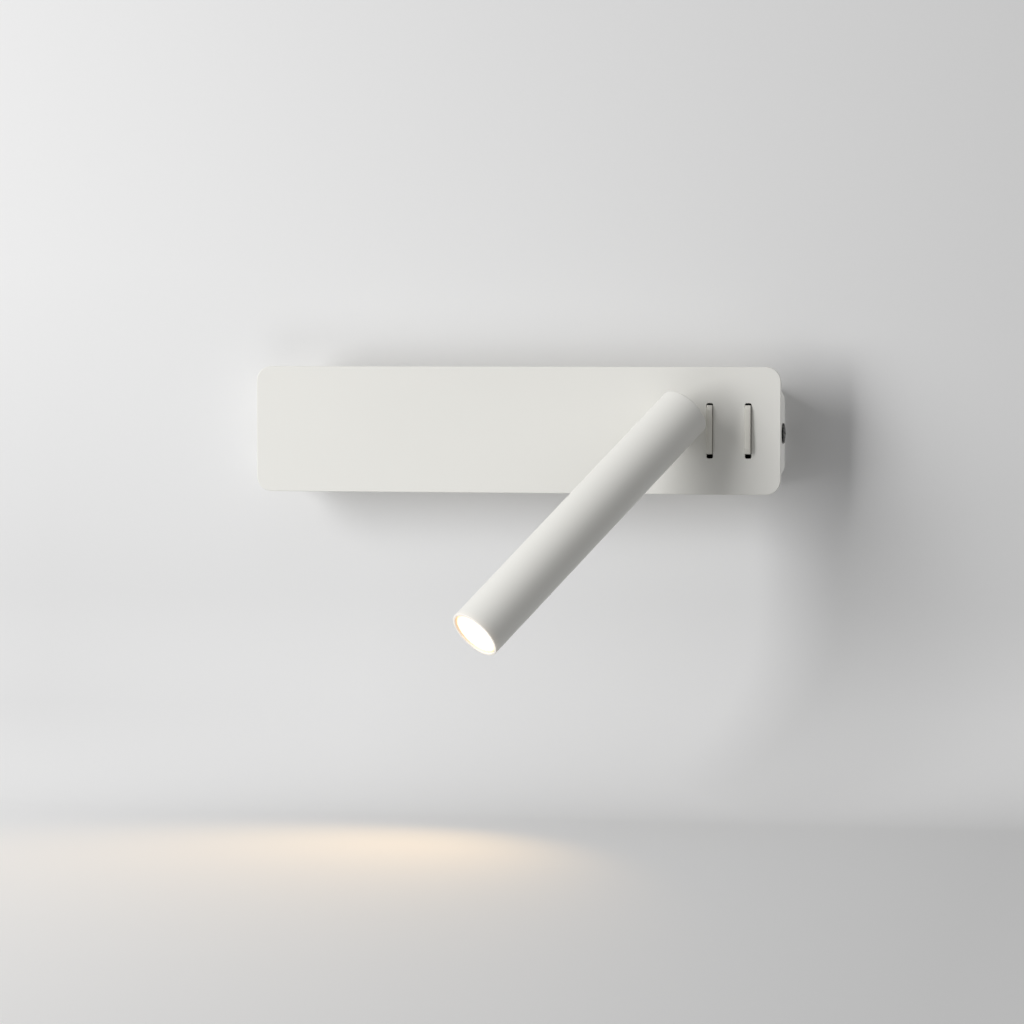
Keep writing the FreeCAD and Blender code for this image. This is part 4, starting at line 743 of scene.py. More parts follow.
def make_materials():
    """Every finish of the light, by the record's material slot."""
    tones = settings().colours
    coat, zinc = tuple(tones.coat), tuple(tones.zinc)
    return {
        # Powder coat on sheet, on folded steel, on the turned tube and on small turned parts: one even
        # warm white, with the peel a little coarser on steel and smoother where the coat is thin
        "panel_paint": coated("powder_coat_plate", coat),
        "housing_paint": coated("powder_coat_housing", shades(coat, 0.99)[0], peel=1.4, depth=0.02),
        # The tube's coat also emits a painted warm glow near its front edge
        "tube_paint": lamp_coat("powder_coat_tube_painted_glow", coat, tuple(tones.painted_spill)),
        "joint_paint": coated("powder_coat_swivel", coat, peel=0.7, roughness=0.45),
        # Zinc on rolled sheet: bluish grey with long faint rolling lines; on screws bright, without lines
        "zinc_steel": metal("zinc_plated_sheet", zinc, 0.36, (8.0, 0.25, 0.25), 0.005, patch=9.0),
        "screw_steel": metal("zinc_plated_screw", zinc, 0.3, (0.3, 0.3, 0.3), 0.004, patch=2.0),
        "black_screw": black_oxide("black_oxide_steel", tuple(tones.black)),
        # Anodised extrusion: satin grey with die lines along it
        "sink_aluminium": metal("anodised_extrusion", linear("#9EA0A3"), 0.42, (12.0, 0.3, 0.3), 0.008,
                                patch=8.0),
        "board_aluminium": solder_mask("white_mask_on_aluminium", linear("#ECECE8"), linear("#D9D7CC")),
        # Rolled brass: yellow and bright, with lines along the strip; hardened steel: dark, fine grained
        "brass_contact": metal("rolled_brass", linear("#C9A35A"), 0.28, (0.25, 4.0, 0.25), 0.004, patch=3.0),
        "spring_steel": metal("hardened_spring_steel", linear("#6E7074"), 0.34, (0.2, 0.2, 0.2), 0.004,
                              patch=2.0),
        # Acetal: waxy off-white with a slight shine; ABS from a finely eroded mould: even satin
        "bearing_plastic": moulded("natural_acetal", linear("#E9E4D6"), 0.34, clear=0.1),
        "rocker_plastic": moulded("satin_abs_rocker", tuple(tones.rocker), 0.36, grain=0.3, depth=0.006),
        # Polyamide: dull where black, yellowish and glossier where natural; polycarbonate: coarse grain
        "switch_plastic": moulded("black_polyamide", linear("#121213"), 0.6),
        "driver_plastic": moulded("white_polycarbonate", linear("#E2E2DE"), 0.45, grain=0.5, depth=0.02),
        "terminal_plastic": moulded("natural_polyamide", linear("#DEDBCF"), 0.4, clear=0.15),
        # Rubber: dull black with a coarse grain
        "grommet_rubber": moulded("black_rubber", linear("#17171A"), 0.75, grain=0.6, depth=0.03, sheen=0.3),
        "lens_glass": lit_lens("lit_frosted_acrylic", tuple(tones.glow)),
        # Aluminium vapour on moulded plastic: almost a mirror, without lines
        "reflector_metal": metal("metallised_reflector", linear("#E6E6E6"), 0.12, (0.6, 0.6, 0.6), 0.002,
                                 patch=4.0, contrast=0.02),
        "holder_plastic": moulded("grey_polycarbonate", linear("#5A5752"), 0.5),
        "opal_plastic": opal("opal_acrylic", tuple(tones.opal)),
        # Phosphor in clear silicone: soft yellow, nearly smooth
        "led_phosphor": moulded("led_phosphor", linear("#E8C33A"), 0.5, grain=0.2, depth=0.01),
        "strip_board": solder_mask("white_mask_on_strip", linear("#EFEFEC"), linear("#DFDED5")),
        # PVC sheath: soft satin, a little uneven
        "lead_sheath": moulded("pvc_sheath", linear("#DEDEDA"), 0.42, grain=0.8, depth=0.02),
    }


FINISHES = {}


def finish(slot):
    """The material of a slot; all of them are made the first time."""
    if not FINISHES:
        FINISHES.update(make_materials())
    return FINISHES[slot]


# What the pieces share

def middle(node):
    """The middle of a node's box."""
    low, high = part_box(node)
    return (low + high) / 2


def local_box(node, place):
    """Lowest and highest corner of a node, seen from a place."""
    points = node_points(node, place)
    return points.min(0), points.max(0)


def cut(thing, cutters):
    """Takes closed surfaces away from an object, exactly, and keeps its smooth and sharp edges."""
    whole = Surface()
    for cutter in cutters:
        whole.add(cutter)
    tool = placed("cutter", cleaned(whole.mesh("cutter")))
    modifier = thing.modifiers.new("cut", "BOOLEAN")
    modifier.object = tool
    modifier.operation = "DIFFERENCE"
    modifier.solver = "EXACT"
    shown = thing.evaluated_get(bpy.context.evaluated_depsgraph_get())
    result = bpy.data.meshes.new_from_object(shown)
    thing.modifiers.clear()
    thing.data = result
    result.set_sharp_from_angle(angle=SMOOTH_LIMIT)
    bpy.data.meshes.remove(tool.data)


def rod(radius, start, end, place, steps=32):
    """A plain rod along a place's X axis, closed at both ends: a cutter."""
    return turned([(start, 0.0), (start, radius), (end, radius), (end, 0.0)], place, steps)


def around(point, axis):
    """A place at a point, its X axis along a named axis."""
    turn, about = {"X": (0.0, "Z"), "Y": (QUARTER, "Z"), "-X": (math.pi, "Z"), "Z": (-QUARTER, "Y")}[axis]
    return Matrix.Translation(Vector(point)) @ Matrix.Rotation(turn, 4, about)


def threads(start, end, radius, pitch, depth):
    """Profile points of thread ridges: the radius falls and rises by the depth once in each pitch."""
    marks = np.arange(start, end, pitch / 2)
    low = np.arange(len(marks)) % 2
    return list(np.stack([marks, radius - depth * low], 1))


# Plate, housing and bracket

def stud_spots():
    """Centres of the six weld studs in the plate's plane."""
    sizes = settings().panel
    rows = (PANEL_LOW.x + sizes.stud_inset, PANEL_MIDDLE[0], PANEL_HIGH.x - sizes.stud_inset)
    return [(x, PANEL_MIDDLE[1] + rise) for x in rows for rise in (-sizes.stud_rise, sizes.stud_rise)]


class WALL_LIGHT_OT_plate(bpy.types.Operator):
    """Front plate with its rocker slots, collar hole and weld studs"""
    bl_idname = "wall_light.plate"
    bl_label = "Front plate"

    def execute(self, context):
        sizes = settings().panel
        stud_root = 0.2 * MM
        back = PANEL_LOW.y + sizes.thickness
        outline = rounded_rectangle(PANEL_HIGH.x - PANEL_LOW.x, PANEL_HIGH.z - PANEL_LOW.z,
                                    sizes.corner, PANEL_MIDDLE, steps=12)
        through = slab(PANEL_LOW.y, back, sizes.hole_edge)
        holes = [(rounded_rectangle(sizes.slot_width, sizes.slot_length, sizes.slot_corner, spot, steps=5),
                  through) for spot in SWITCH_SPOTS]
        holes.append((circle(sizes.collar_hole, SWIVEL_SPOT), through))
        plate = carved("XZY", outline, slab(back, PANEL_LOW.y, sizes.edge), holes)
        for spot in stud_spots():
            plate.add(carved("XZY", circle(sizes.stud_radius, spot, steps=20),
                             slab(back - stud_root, PANEL_HIGH.y, SHEET_EDGE)))
        piece("front_plate", plate, "panel_paint", "base", ["front_panel"])
        return {"FINISHED"}


def shanks(node, depth=0.3 * MM, apart=12 * MM):
    """Centre and radius, in the plate's plane, of the thin ends of screws or pins that stand out from
    the web: the middles of their points within a depth of the front, in groups that are apart."""
    points = node_points(node)
    front = points[points[:, 1] < points[:, 1].min() + depth][:, (0, 2)]
    found = []
    while len(front):
        near = np.linalg.norm(front - front[0], axis=1) < apart
        group = front[near]
        centre = (group.min(0) + group.max(0)) / 2
        found.append((tuple(centre), float(np.linalg.norm(group - centre, axis=1).max())))
        front = front[~near]
    return found


class WALL_LIGHT_OT_housing(bpy.types.Operator):
    """Rear housing: a folded shell, open towards the wall"""
    bl_idname = "wall_light.housing"
    bl_label = "Rear housing"

    def execute(self, context):
        sizes = settings().panel
        web, rim, wall, strip = HOUSING_LOW.y, HOUSING_HIGH.y, sizes.housing_wall, 2 * MM
        outline = rounded_rectangle(HOUSING_HIGH.x - HOUSING_LOW.x, HOUSING_HIGH.z - HOUSING_LOW.z,
                                    sizes.housing_corner, (0.0, 0.0), steps=12)
        profile = eased_profile([(wall + strip, web + wall), (wall, web + wall), (wall, rim),
                                 (0.0, rim), (0.0, web), (strip, web)],
                                [sizes.housing_fold / 3, SHEET_EDGE, SHEET_EDGE, sizes.housing_fold])
        through = slab(web, web + wall, sizes.hole_edge)
        wide, tall = sizes.slot_width + 2 * sizes.window_play, sizes.slot_length + 2 * sizes.window_play
        outlines = [rounded_rectangle(wide, tall, sizes.slot_corner / 2, spot, steps=4)
                    for spot in SWITCH_SPOTS]
        outlines.append(circle(sizes.collar_hole, SWIVEL_SPOT))
        thin = [(spot, sizes.stud_radius) for spot in stud_spots()]
        thin += shanks("stop_pin") + shanks("driver_screws")
        outlines += [circle(radius + PLAY, spot, steps=20) for spot, radius in thin]
        folded = carved("XZY", outline, profile, [(loop, through) for loop in outlines])
        shell = piece("housing_shell", folded, "housing_paint", "base", ["rear_housing"])
        screw, board = middle("side_screws"), middle("backlight_board_top")
        reach = HOUSING_HIGH.z + CLEAR
        cut(shell, [rod(sizes.side_hole, HOUSING_LOW.x - CLEAR, HOUSING_HIGH.x + CLEAR,
                        around((0.0, screw.y, screw.z), "X")),
                    rod(sizes.lead_hole, -reach, reach, around((board.x, board.y, 0.0), "Z"))])
        return {"FINISHED"}


class WALL_LIGHT_OT_bracket(bpy.types.Operator):
    """Wall bracket: a sheet with screw slots, a cable hole and a bent flange at each end"""
    bl_idname = "wall_light.bracket"
    bl_label = "Wall bracket"

    def execute(self, context):
        sizes = settings().panel
        sheet, bend, corner = sizes.bracket_sheet, sizes.bracket_bend, sizes.bracket_corner
        edge, notch, notch_depth = 0.12 * MM, 0.5 * MM, 1.5 * MM
        half, rise, tab = BRACKET_HIGH.x, BRACKET_HIGH.z, sizes.flange_height / 2
        reach = half - bend
        right = np.concatenate([[(reach, tab), (reach - notch_depth, tab), (reach - notch_depth, tab + notch),
                                 (half, tab + notch)],
                                arc((half - corner, rise - corner), corner, 0.0, QUARTER, steps=10)])
        top = np.concatenate([right, right[::-1] * (-1, 1)])
        outline = np.concatenate([top, top[::-1] * (1, -1)])
        radius = sizes.screw_slot_width / 2
        straight = sizes.screw_slot_length / 2 - radius
        outlines = []
        for x in (-sizes.wall_slots / 2, sizes.wall_slots / 2, -sizes.box_slots / 2, sizes.box_slots / 2):
            outlines.append(np.concatenate([
                arc((x + straight, 0.0), radius, -QUARTER, QUARTER, steps=12),
                arc((x - straight, 0.0), radius, QUARTER, 3 * QUARTER, steps=12)]))
        outlines.append(circle(sizes.cable_hole, (0.0, 0.0)))
        earth = middle("earth_screw")
        outlines.append(circle(sizes.earth_hole, (earth.x, earth.z), steps=24))
        back, front = BRACKET_HIGH.y, BRACKET_HIGH.y - sheet
        through = slab(front, back, edge)
        plate = carved("XZY", outline, slab(back, front, edge), [(loop, through) for loop in outlines])
        for side in (-1, 1):
            plate.add(bent_tab(side, reach, tab, sheet, bend, edge))
        bracket = piece("bracket_sheet", plate, "zinc_steel", "base", ["wall_bracket"])
        screw = middle("side_screws")
        cut(bracket, [rod(sizes.side_hole, -half - CLEAR, half + CLEAR,
                          around((0.0, screw.y, screw.z), "X"))])
        return {"FINISHED"}


def bent_tab(side, reach, half, sheet, bend, edge, root=0.5 * MM):
    """An end tab of the bracket: its rounded section, (across z, thickness), is carried from its root
    along a straight, a quarter turn of outer radius bend about (reach, -bend) and a straight run; the
    last rings shrink to round the free end."""
    back, depth = BRACKET_HIGH.y, BRACKET_LOW.y
    section = rounded_rectangle(2 * half, sheet, edge, (0.0, sheet / 2), steps=3)
    steps = inward(section)
    marks = [(reach - root, back, 0.0, 0.0)]
    marks += [(reach + bend * math.sin(turn), back - bend + bend * math.cos(turn), turn, 0.0)
              for turn in np.linspace(0.0, QUARTER, 10)]
    marks += [(reach + bend, level, QUARTER, inset) for inset, level in
              slab(back - bend - FLAT, depth, edge)[-6:]]
    rows = []
    for x, y, turn, inset in marks:
        loop = section + steps * inset
        inside = loop[:, 1]
        across, out = x - inside * math.sin(turn), y - inside * math.cos(turn)
        rows.append(np.stack([side * across, out, loop[:, 0]], 1))
    surface = Surface()
    surface.grid(np.stack(rows), wrap_columns=True)
    for row, inset in ((rows[0], marks[0][3]), (rows[-1], marks[-1][3])):
        surface.fill([section + steps * inset], lambda points, row=row: row)
    return surface


# Screws, diffusers and grommet

class WALL_LIGHT_OT_side_screws(bpy.types.Operator):
    """Two screws through the housing's ends: domed head, cross recess and threaded shank"""
    bl_idname = "wall_light.side_screws"
    bl_label = "Side screws"

    def execute(self, context):
        sizes = settings().screw
        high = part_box("side_screws")[1]
        centre, seat = middle("side_screws"), HOUSING_HIGH.x
        rise, radius, shank = high.x - seat + sizes.proud, high.z - centre.z, sizes.shank
        core, rim, tip = shank * 0.8, rise * 0.45, -sizes.shank_length
        turns = np.linspace(0.0, QUARTER, 9)[1:-1]
        dome = np.stack([rim + (rise - rim) * np.sin(turns), radius * np.cos(turns)], 1)
        profile = [(tip, 0.0), (tip, core)]
        profile += threads(tip + sizes.pitch / 2, -sizes.pitch, shank, sizes.pitch, sizes.pitch / 2)
        profile += [(0.0, core), (0.0, radius - SHEET_EDGE), (0.1 * MM, radius), (rim, radius), *dome,
                    (rise, 0.0)]
        arm, reach = sizes.recess_width / 2, sizes.recess_span / 2
        quarter = np.array([(arm, arm), (arm, reach), (-arm, reach)])
        cross = np.concatenate([quarter, quarter[:, ::-1] * (-1, 1), -quarter, quarter[:, ::-1] * (1, -1)])
        both, cutters = Surface(), []
        for side, axis in ((1, "X"), (-1, "-X")):
            place = around((side * seat, centre.y, centre.z), axis)
            both.add(turned(profile, place, steps=64))
            cutters.append(carved("YZX", cross, [(0.0, rise + 1 * MM), (0.0, rise - 0.1 * MM),
                                                 (arm * 0.5, rise - sizes.recess_depth)]).moved(place))
        cut(piece("black_side_screws", both, "black_screw", "base", ["side_screws"]), cutters)
        return {"FINISHED"}


class WALL_LIGHT_OT_diffusers(bpy.types.Operator):
    """Two opal channels over the backlight strips, above and below the housing"""
    bl_idname = "wall_light.diffusers"
    bl_label = "Backlight diffusers"

    def execute(self, context):
        wall, corner, edge = settings().panel.diffuser_wall, 1.4 * MM, 1 * MM
        inner_strip, outer_strip = 0.8 * MM, 1.5 * MM
        for side, way in (("top", 1), ("bottom", -1)):
            node = "backlight_diffuser_" + side
            low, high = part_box(node)
            rim, face = (low.z, high.z) if way > 0 else (high.z, low.z)
            floor = face - way * wall
            outline = rounded_rectangle(high.x - low.x, high.y - low.y, corner,
                                        ((low.x + high.x) / 2, (low.y + high.y) / 2), steps=6)
            profile = eased_profile([(wall + inner_strip, floor), (wall, floor), (wall, rim), (0.0, rim),
                                     (0.0, face), (outer_strip, face)],
                                    [0.1 * MM, SHEET_EDGE, SHEET_EDGE, edge])
            piece("opal_channel_" + side, carved("XYZ", outline, profile), "opal_plastic", "base", [node])
        return {"FINISHED"}


class WALL_LIGHT_OT_grommet(bpy.types.Operator):
    """Rubber grommet in the bracket's cable hole"""
    bl_idname = "wall_light.grommet"
    bl_label = "Cable grommet"

    def execute(self, context):
        sizes = settings().panel
        low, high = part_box("cable_grommet")
        flange, barrel, bore = high.x, sizes.cable_hole - PLAY, sizes.cable_bore
        step, edge = -sizes.bracket_sheet, 0.45 * MM
        ring = softened([(low.y, bore), (high.y, bore), (high.y, barrel), (step, barrel), (step, flange),
                         (low.y, flange)], edge)
        piece("rubber_grommet", turned(ring, around((0.0, 0.0, 0.0), "Y"), closed=True), "grommet_rubber",
              "base", ["cable_grommet"])
        return {"FINISHED"}


# Rockers

class WALL_LIGHT_OT_rockers(bpy.types.Operator):
    """Two rocker blades with sloped ends, a foot behind the pivot and an axle"""
    bl_idname = "wall_light.rockers"
    bl_label = "Rockers"

    def execute(self, context):
        sizes = settings().rocker
        tip, bevel, corner, axle_edge = sizes.tall / 2, sizes.bevel_length, 0.35 * MM, 0.2 * MM
        half = [(-sizes.face, tip - bevel), (-sizes.face + sizes.bevel_drop, tip), (-sizes.skirt, tip),
                (sizes.hub, sizes.hub), (sizes.foot, sizes.foot_radius)]
        other = [(depth, -height) for depth, height in reversed(half)]
        outline = softened(half + other, corner, steps=5)
        end, radius = sizes.axle_length / 2, sizes.axle_radius
        profile = eased_profile([(-end, 0.0), (-end, radius), (end, radius), (end, 0.0)], [axle_edge] * 2)
        for side in ("left", "right"):
            joint = JOINTS["rocker_" + side]
            rest = -math.radians(joint["range_deg"][1]) / 2
            place = Matrix.Translation(joint["pos_m"]) @ Matrix.Rotation(rest, 4, "X")
            blade = carved("YZX", outline, slab(-sizes.width / 2, sizes.width / 2, sizes.edge))
            blade.add(turned(profile, Matrix(), steps=32))
            piece("rocker_blade_" + side, blade.moved(place), "rocker_plastic", "rocker_" + side,
                  ["rocker_" + side])
        return {"FINISHED"}


# Swivel

class WALL_LIGHT_OT_swivel(bpy.types.Operator):
    """Collar in the plate, and the stem with its flange, threaded spindle, flat neck and eye"""
    bl_idname = "wall_light.swivel"
    bl_label = "Collar and stem"

    def execute(self, context):
        sizes = settings().lamp
        low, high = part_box("swivel_collar")
        place = around((SWIVEL_SPOT[0], 0.0, SWIVEL_SPOT[1]), "Y")
        bore, wide = sizes.spindle_radius + PLAY, high.z - SWIVEL_SPOT[1]
        ring = softened([(low.y, bore), (high.y, bore), (high.y, sizes.barrel), (PANEL_LOW.y, sizes.barrel),
                         (PANEL_LOW.y, wide), (low.y, wide)], 0.3 * MM)
        piece("collar_ring", turned(ring, place, closed=True), "joint_paint", "base", ["swivel_collar"])

        flange, end = sizes.stem_flange_start, local_box("swivel_stem", STEM_PLACE)[1][1]
        step, wide, spindle = flange + sizes.flange_thickness, sizes.stem_flange, sizes.spindle_radius
        bore, bore_end = sizes.stem_bore, flange + 5 * MM
        thread, pitch, relief, lead_in = end - 11.5 * MM, 1 * MM, 0.6 * MM, 0.2 * MM
        profile = eased_profile([(flange, 0.0), (flange, wide), (step, wide), (step, spindle),
                                 (thread - pitch / 2, spindle)], [0.3 * MM, 0.2 * MM, 0.1 * MM])
        profile = list(profile) + threads(thread, end - relief, spindle, pitch, pitch / 2)
        profile += [(end, spindle - relief), (end, bore + lead_in), (end - lead_in, bore), (bore_end, bore),
                    (bore_end, 0.0)]
        stem = turned(profile, around((0.0, 0.0, 0.0), "Y"))

        half, eye, root = sizes.neck_width / 2, sizes.eye_radius, flange + 0.7 * MM
        meet = math.asin(half / eye)
        round_eye = arc((0.0, 0.0), eye, 5 * QUARTER - meet, QUARTER + meet, steps=40)
        outline = np.concatenate([[(half, root), (-half, root)], round_eye[::-1]])
        thick, pin_edge = sizes.neck_thickness / 2, 0.3 * MM
        stem.add(carved("XYZ", outline, slab(-thick, thick, sizes.neck_edge),
                        [(circle(sizes.pin_radius, steps=40), slab(thick, -thick, pin_edge))]))
        piece("stem", stem.moved(STEM_PLACE), "joint_paint", "stem", ["swivel_stem"])
        return {"FINISHED"}


# Lamp tube

def sector(loop, first, last, columns):
    """Wall of a slotted tube: each loop point (along, radius) is carried from the angle first(radius) to
    last(radius), at (along, radius cos a, radius sin a)."""
    along, radius = loop[:, :1], loop[:, 1:]
    share = np.linspace(0.0, 1.0, columns + 1)
    angle = first(radius) * (1.0 - share) + last(radius) * share
    return np.stack([np.broadcast_to(along, angle.shape), radius * np.cos(angle), radius * np.sin(angle)], -1)


class WALL_LIGHT_OT_tube(bpy.types.Operator):
    """Lamp tube with its tilt slot and set screws"""
    bl_idname = "wall_light.tube"
    bl_label = "Lamp tube"

    def execute(self, context):
        sizes = settings().lamp
        outer, inner = TUBE_RADIUS - sizes.tube_ease, TUBE_RADIUS - sizes.tube_wall
        half, stop, inner_edge = sizes.slot_half, -sizes.slot_stop, 0.12 * MM
        front = eased_profile([(stop, inner), (TUBE_FRONT, inner), (TUBE_FRONT, outer), (stop, outer)],
                              [inner_edge, sizes.front_edge])
        rear = eased_profile([(stop, outer), (TUBE_REAR, outer), (TUBE_REAR, inner), (stop, inner)],
                             [sizes.rear_edge, inner_edge])

        def near(radius):
            return np.arcsin(half / radius)

        tube = Surface()
        tube.grid(sector(np.concatenate([front, rear[1:-1]]), near,
                         lambda radius: 2 * math.pi - near(radius), columns=120), wrap_rows=True)
        tube.grid(sector(front, lambda radius: -near(radius), near, columns=12), wrap_rows=True)
        side = np.stack([rear[:, 0], np.sqrt(rear[:, 1] ** 2 - half ** 2)], 1)
        for way in (-1, 1):
            tube.fill([side], lambda points: lifted("XYZ")(points, way * half))
        shell = piece("slotted_tube", tube.moved(HEAD_PLACE), "tube_paint", "head", ["lamp_tube"])

        low, high = local_box("tube_set_screws", HEAD_PLACE)
        radius, socket, top = (high[0] - low[0]) / 2, sizes.socket, high[1]
        screws, sockets, holes = Surface(), [], []
        profile = eased_profile([(low[1], 0.0), (low[1], radius), (top, radius), (top, 0.0)],
                                [0.3 * MM, 0.2 * MM])
        drill = [(0.0, top + 0.3 * MM), (0.0, top - 1.2 * MM), (socket / 2, top - 1.5 * MM)]
        for z in (low[2] + radius, high[2] - radius):
            place = HEAD_PLACE @ around(((low[0] + high[0]) / 2, 0.0, z), "Y")
            screws.add(turned(profile, place, steps=32))
            sockets.append(carved("YZX", circle(socket, steps=6), drill).moved(place))
            holes.append(rod(radius + PLAY, inner - 3 * MM, outer + 1 * MM, place))
        cut(shell, holes)
        cut(piece("socket_set_screws", screws, "screw_steel", "head", ["tube_set_screws"]), sockets)
        return {"FINISHED"}


class WALL_LIGHT_OT_lens(bpy.types.Operator):
    """Lit front lens and the holder ring behind it"""
    bl_idname = "wall_light.lens"
    bl_label = "Front lens"

    def execute(self, context):
        sizes = settings().lamp
        low, high = local_box("front_lens", HEAD_PLACE)
        radius, face, back = high[2], low[0] + sizes.lens_dish, high[0]
        disc = eased_profile([(back, 0.0), (back, radius), (face, radius), (face, 0.0)],
                             [SHEET_EDGE, sizes.lens_edge])
        piece("frosted_lens", turned(disc, HEAD_PLACE), "lens_glass", "head", ["front_lens"])
        low, high = local_box("optic_holder", HEAD_PLACE)
        radius, inside, edge = high[2], high[2] - sizes.holder_wall, 0.2 * MM
        ring = softened([(low[0], inside), (high[0], inside), (high[0], radius), (low[0], radius)], edge)
        piece("holder_ring", turned(ring, HEAD_PLACE, closed=True), "holder_plastic", "head",
              ["optic_holder"])
        return {"FINISHED"}


# Parts inside the housing and the tube, with the rounding of their edges in millimetres

EASED = {
    "stud_nuts": 0.3, "collar_nut": 0.35, "clinch_nuts": 0.3, "terminal_block": 0.4, "terminal_screws": 0.15,
    "earth_washer": 0.15, "earth_screw": 0.2, "led_driver": 0.8, "driver_screws": 0.2, "driver_lead": 0.0,
    "stem_lead": 0.0, "head_lead": 0.0, "backlight_board_top": 0.1, "backlight_board_bottom": 0.1,
    "backlight_leds_top": 0.12, "backlight_leds_bottom": 0.12, "switch_body_left": 0.35,
    "switch_body_right": 0.35, "contact_lever_left": 0.12, "contact_lever_right": 0.12,
    "switch_terminals_left": 0.12, "switch_terminals_right": 0.12, "slide_washer": 0.15, "disc_spring": 0.1,
    "stop_washer": 0.2, "stop_pin": 0.15, "lock_nuts": 0.35, "rear_yoke": 0.25, "tilt_pin": 0.25,
    "tilt_nut": 0.3, "friction_washers": 0.15, "reflector": 0.1, "spot_led": 0.12, "led_board": 0.15,
    "board_screws": 0.15, "heat_sink": 0.2,
}


class WALL_LIGHT_OT_inner_parts(bpy.types.Operator):
    """Parts inside the housing and the tube: their shapes from the frame, with eased edges"""
    bl_idname = "wall_light.inner_parts"
    bl_label = "Inner parts"

    def execute(self, context):
        for node, width in EASED.items():
            source = frame["nodes"][node]
            slot = source.data.materials[0].name
            mesh = source.data.copy()
            mesh.name = node + "_eased"
            cleaned(mesh, lambda work: bmesh.ops.dissolve_limit(
                work, angle_limit=math.radians(0.8), verts=work.verts, edges=work.edges))
            thing = finished(mesh, slot)
            if width:
                ease(thing, width * MM)
            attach(thing, source["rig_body"])
            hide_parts(node)
        return {"FINISHED"}


def ease(thing, width):
    """A narrow rounding on every edge that turns by more than the limit."""
    modifier = thing.modifiers.new("edge", "BEVEL")
    modifier.width = width
    modifier.segments = 2
    modifier.limit_method = "ANGLE"
    modifier.angle_limit = math.radians(40.0)
    modifier.harden_normals = True


# Studio: a pale sweep behind and under the light, the lamps and the camera

def sweep_surface(sizes, straight=0.02, columns=9):
    """Wall, a quarter turn with a short straight strip at each end, and floor: the profile (y, z) is
    carried along X."""
    fold, foot = sizes.fold, sizes.gap - sizes.fold
    turn = np.linspace(0.0, QUARTER, 25)
    curve = np.stack([foot + fold * np.cos(turn), sizes.floor + fold - fold * np.sin(turn)], 1)
    profile = np.concatenate([[(sizes.gap, sizes.height), (sizes.gap, sizes.floor + fold + straight)], curve,
                              [(foot - straight, sizes.floor), (-sizes.depth, sizes.floor)]])
    across = np.linspace(sizes.width / 2, -sizes.width / 2, columns)
    points = np.empty((len(profile), len(across), 3))
    points[..., 0], points[..., 1], points[..., 2] = across, profile[:, :1], profile[:, 1:]
    surface = Surface()
    surface.grid(points)
    return surface


def matt_sweep(name, base, painted_corner_shade=0.12, painted_light_left=1.17, painted_light_right=0.84):
    """Matt painted board with a faint fibre. Its colour carries painted shade and light: the wall is darker
    in its lower left corner, and the floor, which starts in the fold, is lighter on its left than on its
    right.
    The board is seen from its front only, so that the light can also be looked at from behind."""
    material, tree, shader, place = blank(name)
    tint = mottled(tree, place, base, size=1.5, high=1.006, low=0.994)
    axes = add(tree, "SeparateXYZ", links={0: place})
    # Painted shade: the wall's colour darkens towards its lower left corner
    corner = add(tree, "MapRange", {"From Min": -0.1, "From Max": -0.3}, {"Value": axes.outputs["X"]})
    drop = add(tree, "MapRange", {"From Min": 0.1, "From Max": -0.18, "To Max": painted_corner_shade},
               {"Value": axes.outputs["Z"]})
    shade = add(tree, "Math", links={0: corner.outputs["Result"], 1: drop.outputs["Result"]},
                operation="MULTIPLY")
    wall = add(tree, "Mix", {7: (0.0, 0.0, 0.0, 1.0)}, {0: shade.outputs["Value"], 6: tint},
               data_type="RGBA")
    # Painted light and shade: the floor's colour is lighter on its left and darker on its right
    across = add(tree, "MapRange", {"From Min": -0.3, "From Max": 0.3}, {"Value": axes.outputs["X"]})
    left, right = shades(base, painted_light_left, painted_light_right)
    floor = add(tree, "Mix", {6: left, 7: right}, {0: across.outputs["Result"]}, data_type="RGBA")
    reach = add(tree, "MapRange", {"From Min": -0.02, "From Max": -0.12}, {"Value": axes.outputs["Y"]})
    board = add(tree, "Mix", (), {0: reach.outputs["Result"], 6: wall.outputs[2], 7: floor.outputs[2]},
                data_type="RGBA")
    dressed(tree, shader, {"Base Color": board.outputs[2]}, {"Roughness": 0.9, "Specular IOR Level": 0.1})
    clear = add(tree, "BsdfTransparent")
    side = add(tree, "NewGeometry")
    both = add(tree, "MixShader", (), {0: side.outputs["Backfacing"], 1: shader.outputs["BSDF"],
                                       2: clear.outputs["BSDF"]})
    tree.links.new(both.outputs["Shader"], tree.nodes["Material Output"].inputs["Surface"])
    return material


